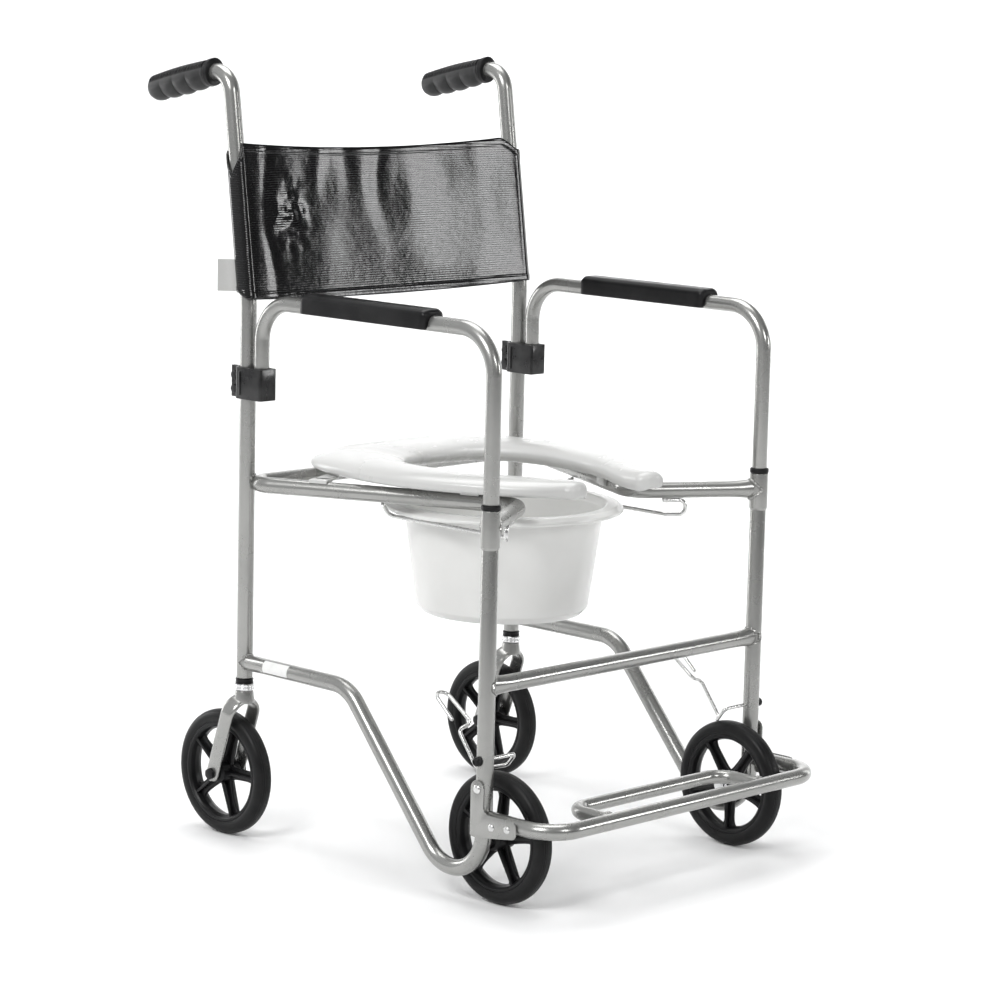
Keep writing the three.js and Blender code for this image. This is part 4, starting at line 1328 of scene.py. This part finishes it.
def makeBucket():
    low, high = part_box("bucket")
    centre = at((low.x + high.x) / 2, (low.y + high.y) / 2, low.z)
    rim, tall = (high.x - low.x) / 2, high.z - low.z
    ledge = tall - 0.0090
    wall, mouth, base = bucket["wall"], bucket["mouth"], bucket["foot"]
    profile = [
        (0, 0.0014), (base - 0.016, 0.0014), (base - 0.0145, 0), (base - 0.008, 0), (base, 0.008),
        (mouth - 0.0010, ledge - 0.010), (mouth + 0.0006, ledge), (rim - 0.0018, ledge),
        (rim, ledge + 0.0018), (rim - 0.0006, ledge + 0.0048), (rim - 0.0062, tall),
        (mouth + 0.0040, tall), (mouth - wall, ledge + 0.0010),
        (mouth - wall - 0.0012, ledge - 0.012), (base - wall, 0.0095), (base - 0.010, 0.0042), (0, 0.0042),
    ]
    radii = [0.0006, 0.0006, 0.0024, 0.0050, 0.0030, 0.0004, 0.0010, 0.0014, 0.0024, 0.0040, 0.0040, 0.0030,
             0.0050, 0.0030, 0.0]
    shape = turned(softProfile(profile, radii, stepDegrees=10), centre, steps=192)
    makePiece("bucket", shape, bucketPlastic, "bucket", "bucket", sharp=50)


makeBucket()
print("commode chair: bucket made")

seat = {
    "lip": 0.0020,
    "tipLength": 0.0125,
    "skirt": 0.004,
    "middleFromRear": 0.164,
    # across and along, from the middle of the straight rear edge round to the tip
    "outerEdge": [
        (0, 0.176), (0.040, 0.176), (0.080, 0.175), (0.100, 0.166), (0.140, 0.146), (0.163, 0.110),
        (0.176, 0.050), (0.178, 0), (0.171, -0.050), (0.151, -0.105), (0.123, -0.158), (0.096, -0.195),
        (0.081, -0.2115),
    ],
    "innerEdge": [
        (0, 0.080), (0.022, 0.079), (0.044, 0.074), (0.062, 0.066), (0.080, 0.050), (0.091, 0.025),
        (0.097, 0), (0.098, -0.030), (0.093, -0.075), (0.080, -0.115), (0.062, -0.150), (0.049, -0.180),
        (0.0440, -0.202),
    ],
}
seatClip = {
    "along": {"rear": 0.072, "front": -0.098},
    "tab": {"rear": 0.042, "front": 0.014},
    "level": 0.427,
    "wide": 0.013,
    "halfLength": 0.011,
    "shoulder": math.radians(52),  # the outer side of the tube stays bare
}


def smoothLine(points, steps=10):
    line = []
    for i in range(len(points) - 1):
        p0 = Vector(points[max(i - 1, 0)] if i else (-points[1][0], points[1][1]))
        p1, p2 = Vector(points[i]), Vector(points[i + 1])
        p3 = Vector(points[i + 2]) if i + 2 < len(points) else p2 + (p2 - p1)
        for k in range(steps):
            t = k / steps
            line.append(0.5 * (2 * p1 + (p2 - p0) * t + (2 * p0 - 5 * p1 + 4 * p2 - p3) * t * t
                               + (3 * p1 - p0 - 3 * p2 + p3) * t**3))
    line.append(Vector(points[-1]))
    return line


def makeSeat():
    low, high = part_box("seat")
    tall = high.z - low.z
    originY = rearY - seat["middleFromRear"]
    outer, inner = smoothLine(seat["outerEdge"]), smoothLine(seat["innerEdge"])
    stations = [(o, n, 1.0) for o, n in zip(outer, inner)]
    lastOuter, lastInner = outer[-1], inner[-1]
    edge = lastOuter - lastInner
    forward = Vector((-edge.y, edge.x)).normalized()
    forward = -forward if forward.y > 0 else forward
    middle, halfEdge = (lastOuter + lastInner) / 2, edge / 2
    for k in range(1, 13):
        angle = math.pi / 2 * k / 12
        shrink = max(0.02, math.cos(angle) ** 0.75)
        place = middle + forward * seat["tipLength"] * math.sin(angle)
        stations.append((place + halfEdge * shrink, place - halfEdge * shrink, max(0.1, shrink**0.6)))
    around = 56

    def ring(o, n, tallShare, side):
        points = []
        rear = 1 / (1 + math.exp((abs(o.x) - 0.080) / 0.003)) if o.y > 0.1 else 0.0
        for k in range(around):
            angle = 2 * math.pi * k / around
            c, s = math.cos(angle), math.sin(angle)
            a = math.copysign(abs(c) ** 0.55, c)
            b = math.copysign(abs(s) ** 0.62, s)
            share = 0.5 + 0.5 * a
            place = n + (o - n) * share
            crown = 1.08 - 0.42 * abs(2 * share - 0.98) ** 2.2 if s > 0 else 1.0
            height = tall * 0.40 + tall * (0.60 if s > 0 else 0.40) * b * tallShare * crown
            if s < 0:
                # a skirt hangs inside the seat frame's tube
                height -= seat["skirt"] * max(0.0, 1 - abs(share - 0.10) / 0.09) * tallShare
            if s > 0:
                height += rear * seat["lip"] * max(0.0, min(1.0, (share - 0.80) / 0.05)) - rear * 0.0008
            points.append(at(side * place.x, originY + place.y, low.z + height))
        return points

    rings = [ring(o, n, t, -1) for o, n, t in reversed(stations)]
    rings += [ring(o, n, t, 1) for o, n, t in stations[1:]]
    # the seat is drawn in the darker copy of the white plastic, painted shade
    makePiece("seat", skin(rings), shadedSeatPlastic, "seat", "seat", sharp=60)


# A saddle over the seat frame's sloping tube, with a tab inwards under the seat
def makeSeatClip(place, label, x):
    node = f"seat_clip_{place}_{label}"
    low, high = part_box(node)
    run = at(tube["seatCornerX"] - tube["seatNoseX"], rearY - 0.007 - frontY - tube["seatNoseFromFront"], 0)
    heading = at(x * run.x, run.y, 0).normalized()
    y = rearY - seat["middleFromRear"] + seatClip["along"][place]
    share = (y - frontY - tube["seatNoseFromFront"]) / run.y
    centre = at(x * (tube["seatNoseX"] + run.x * share), y, 0)
    reach = tube["radius"] + 0.0004
    tall, level, wide = high.z, seatClip["level"], seatClip["wide"]
    inward = up.cross(heading) * (1 if up.cross(heading).x * x < 0 else -1)
    shoulder = seatClip["shoulder"]
    corners = [(reach, low.z - level, 0), (wide, low.z - level, 0), (wide, tall - level, 0),
               (-reach * math.cos(shoulder), tall - level, 0),
               (-reach * math.cos(shoulder), reach * math.sin(shoulder), 0)]
    outer = roundCorners(corners, [0.0008, 0.0015, 0.0008], 15)[:-1]
    arch = [at(-reach * math.cos(a), reach * math.sin(a), 0) for a in np.linspace(shoulder, math.pi, 20)]
    flip = 1 if heading.cross(up).dot(inward) > 0 else -1
    outline = [(p.y, p.x * flip) for p in outer + arch]
    base = centre + up * level
    half = seatClip["halfLength"]
    saddle = sweep([base + heading * d for d in (-half, -half + 0.0006, half - 0.0006, half)], outline,
                   across=up, sizes=[(0.985, 0.975), (1, 1), (1, 1), (0.985, 0.975)])
    tab = seatClip["tab"][place]
    strip = [base + inward * d + up * (tall - level - 0.0015) for d in (0.006, tab - 0.002, tab)]
    tabSizes = [(1, 1), (1, 1), (0.8, 0.8)]
    tabShape = sweep(strip, roundedBox(0.0030, 0.0200, 0.0010), across=up, sizes=tabSizes)
    makePiece(f"seatClip_{place}_{label}", [saddle, tabShape], shadedSeatPlastic, "seat", node,
              sharp=40)


makeSeat()
for label, x in sides:
    for place in ("rear", "front"):
        makeSeatClip(place, label, x)
print("commode chair: seat made")

sticker = {
    "fromUpright": 0.042,
    "length": 0.042,
    "start": 118,  # degrees round the tube
    "wrap": 92,
    "above": 0.00012,
    "depth": 0.0004,
}


# A blank paper sticker wrapped on the right lower rail
def makeSticker():
    radius = tube["radius"] + sticker["above"]
    angles = [math.radians(sticker["start"] + sticker["wrap"] * j / 12) for j in range(13)]
    spots = [(radius, a) for a in angles] + [(radius - sticker["depth"], a) for a in reversed(angles)]
    rows = []
    for k in range(25):
        y = rearY - sticker["fromUpright"] - sticker["length"] * k / 24
        middle = at(-halfWidth, y, tube["lowerRail"])
        rows.append([middle + at(math.cos(a), 0, math.sin(a)) * r for r, a in spots])
    makePiece("railSticker", skin(rows), whitePaper, "frame", None, sharp=40)


makeSticker()

studio = {
    "floor": (0.90, 0.90, 0.90),
    "world": (0.93, 0.94, 0.95),
    "worldStrength": (0.06, 0.70),
    "brightSide": (-0.58, 0.70, 0.42),
    # name, place, what it points at, width, height and watts
    "lights": [
        ("key softbox", (-2.7, -0.6, 2.6), (0, 0, 0.4), 1.2, 1.2, 62),
        ("front softbox", (-0.4, -3.4, 2.1), (0, 0, 0.5), 0.8, 0.8, 22),
        ("side softbox", (2.02, -2.35, 1.05), (0.1, 0.18, 0.73), 0.6, 0.50, 14),
        ("top softbox", (0.4, 0.6, 3.4), (0, 0, 0.3), 2.2, 2.2, 62),
        ("left strip", (-0.9, 3.1, 0.9), (0, 0, 0.5), 0.7, 2.2, 26),
        ("right strip", (3.2, -0.3, 0.9), (0, 0, 0.5), 0.5, 2.0, 9),
        ("backdrop softbox", (2.4, 1.3, 2.9), (3.6, 3.6, 0.6), 1.2, 1.2, 70),
    ],
}


def makeFloor():
    mesh = bpy.data.meshes.new("floor")
    size, bend, rise = 6.0, 1.6, 5.0
    rows = [(-size, 0), (3.0, 0)]
    for a in np.linspace(0.1, math.pi / 2, 12):
        rows.append((3.0 + bend * math.sin(a), bend * (1 - math.cos(a))))
    rows.append((3.0 + bend, rise))
    points, faces = [], []
    for y, z in rows:
        points += [(-9, y, z), (9, y, z)]
    for i in range(len(rows) - 1):
        faces.append((2 * i, 2 * i + 1, 2 * i + 3, 2 * i + 2))
    turn = Matrix.Rotation(math.radians(-45), 3, "Z")
    mesh.from_pydata([tuple(turn @ Vector(p)) for p in points], [], faces)
    mesh.shade_smooth()
    floor = bpy.data.objects.new("floor", mesh)
    bpy.context.scene.collection.objects.link(floor)
    material, tree, shader, place = startFinish("studio floor")
    clouds = addNode(tree, "ShaderNodeTexNoise", Scale=1.2, Detail=3.0)
    link(tree, place, clouds.inputs["Vector"])
    colours = tree.nodes.new("ShaderNodeValToRGB")
    colours.color_ramp.elements[0].color = (*[c * 0.98 for c in studio["floor"]], 1)
    colours.color_ramp.elements[1].color = (*studio["floor"], 1)
    link(tree, clouds.outputs["Fac"], colours.inputs["Fac"])
    link(tree, colours.outputs["Color"], shader.inputs["Base Color"])
    shader.inputs["Roughness"].default_value = 0.7
    mesh.materials.append(material)


def makeLight(name, place, target, width, height, watts):
    lamp = bpy.data.lights.new(name, "AREA")
    lamp.shape = "RECTANGLE"
    lamp.size, lamp.size_y = width, height
    lamp.energy = watts
    light = bpy.data.objects.new(name, lamp)
    bpy.context.scene.collection.objects.link(light)
    light.location = place
    light.rotation_mode = "QUATERNION"
    light.rotation_quaternion = (Vector(target) - Vector(place)).to_track_quat("-Z", "Y")


def makeWorld():
    world = bpy.data.worlds.new("studio")
    world.use_nodes = True
    tree = world.node_tree
    background = tree.nodes["Background"]
    background.inputs["Color"].default_value = (*studio["world"], 1)
    toward = tree.nodes.new("ShaderNodeVectorMath")
    toward.operation = "DOT_PRODUCT"
    toward.inputs[1].default_value = studio["brightSide"]
    link(tree, tree.nodes.new("ShaderNodeTexCoord").outputs["Generated"], toward.inputs[0])
    strength = tree.nodes.new("ShaderNodeMapRange")
    strength.inputs["From Min"].default_value = -0.8
    strength.inputs["To Min"].default_value = studio["worldStrength"][0]
    strength.inputs["To Max"].default_value = studio["worldStrength"][1]
    link(tree, toward.outputs["Value"], strength.inputs["Value"])
    link(tree, strength.outputs["Result"], background.inputs["Strength"])
    bpy.context.scene.world = world


makeFloor()
makeWorld()
for light in studio["lights"]:
    makeLight(*light)

lens = {
    "azimuth": -45.67,
    "height": 9.05,
    "roll": 1.36,
    "distance": 3.9522,
    "length": 120.915,
    "lookAt": (0.0, -0.02626, 0.40892),
}


def makeCamera():
    azimuth, height, roll = (math.radians(lens[k]) for k in ("azimuth", "height", "roll"))
    level = math.cos(height)
    backward = at(math.sin(azimuth) * level, -math.cos(azimuth) * level, math.sin(height))
    sideways = at(math.cos(azimuth), math.sin(azimuth), 0)
    upward = backward.cross(sideways)
    right = sideways * math.cos(roll) + upward * math.sin(roll)
    over = upward * math.cos(roll) - sideways * math.sin(roll)
    camera = bpy.data.objects.new("camera", bpy.data.cameras.new("camera"))
    bpy.context.scene.collection.objects.link(camera)
    camera.data.sensor_width = 36
    camera.data.lens = lens["length"]
    camera.data.clip_end = 30
    place = Vector(lens["lookAt"]) + backward * lens["distance"]
    turn = Matrix((right, over, backward)).transposed().to_4x4()
    camera.matrix_world = Matrix.Translation(place) @ turn
    bpy.context.scene.camera = camera


makeCamera()
bpy.context.scene.view_settings.view_transform = "Standard"
print("commode chair: studio made")

print("commode chair: done")
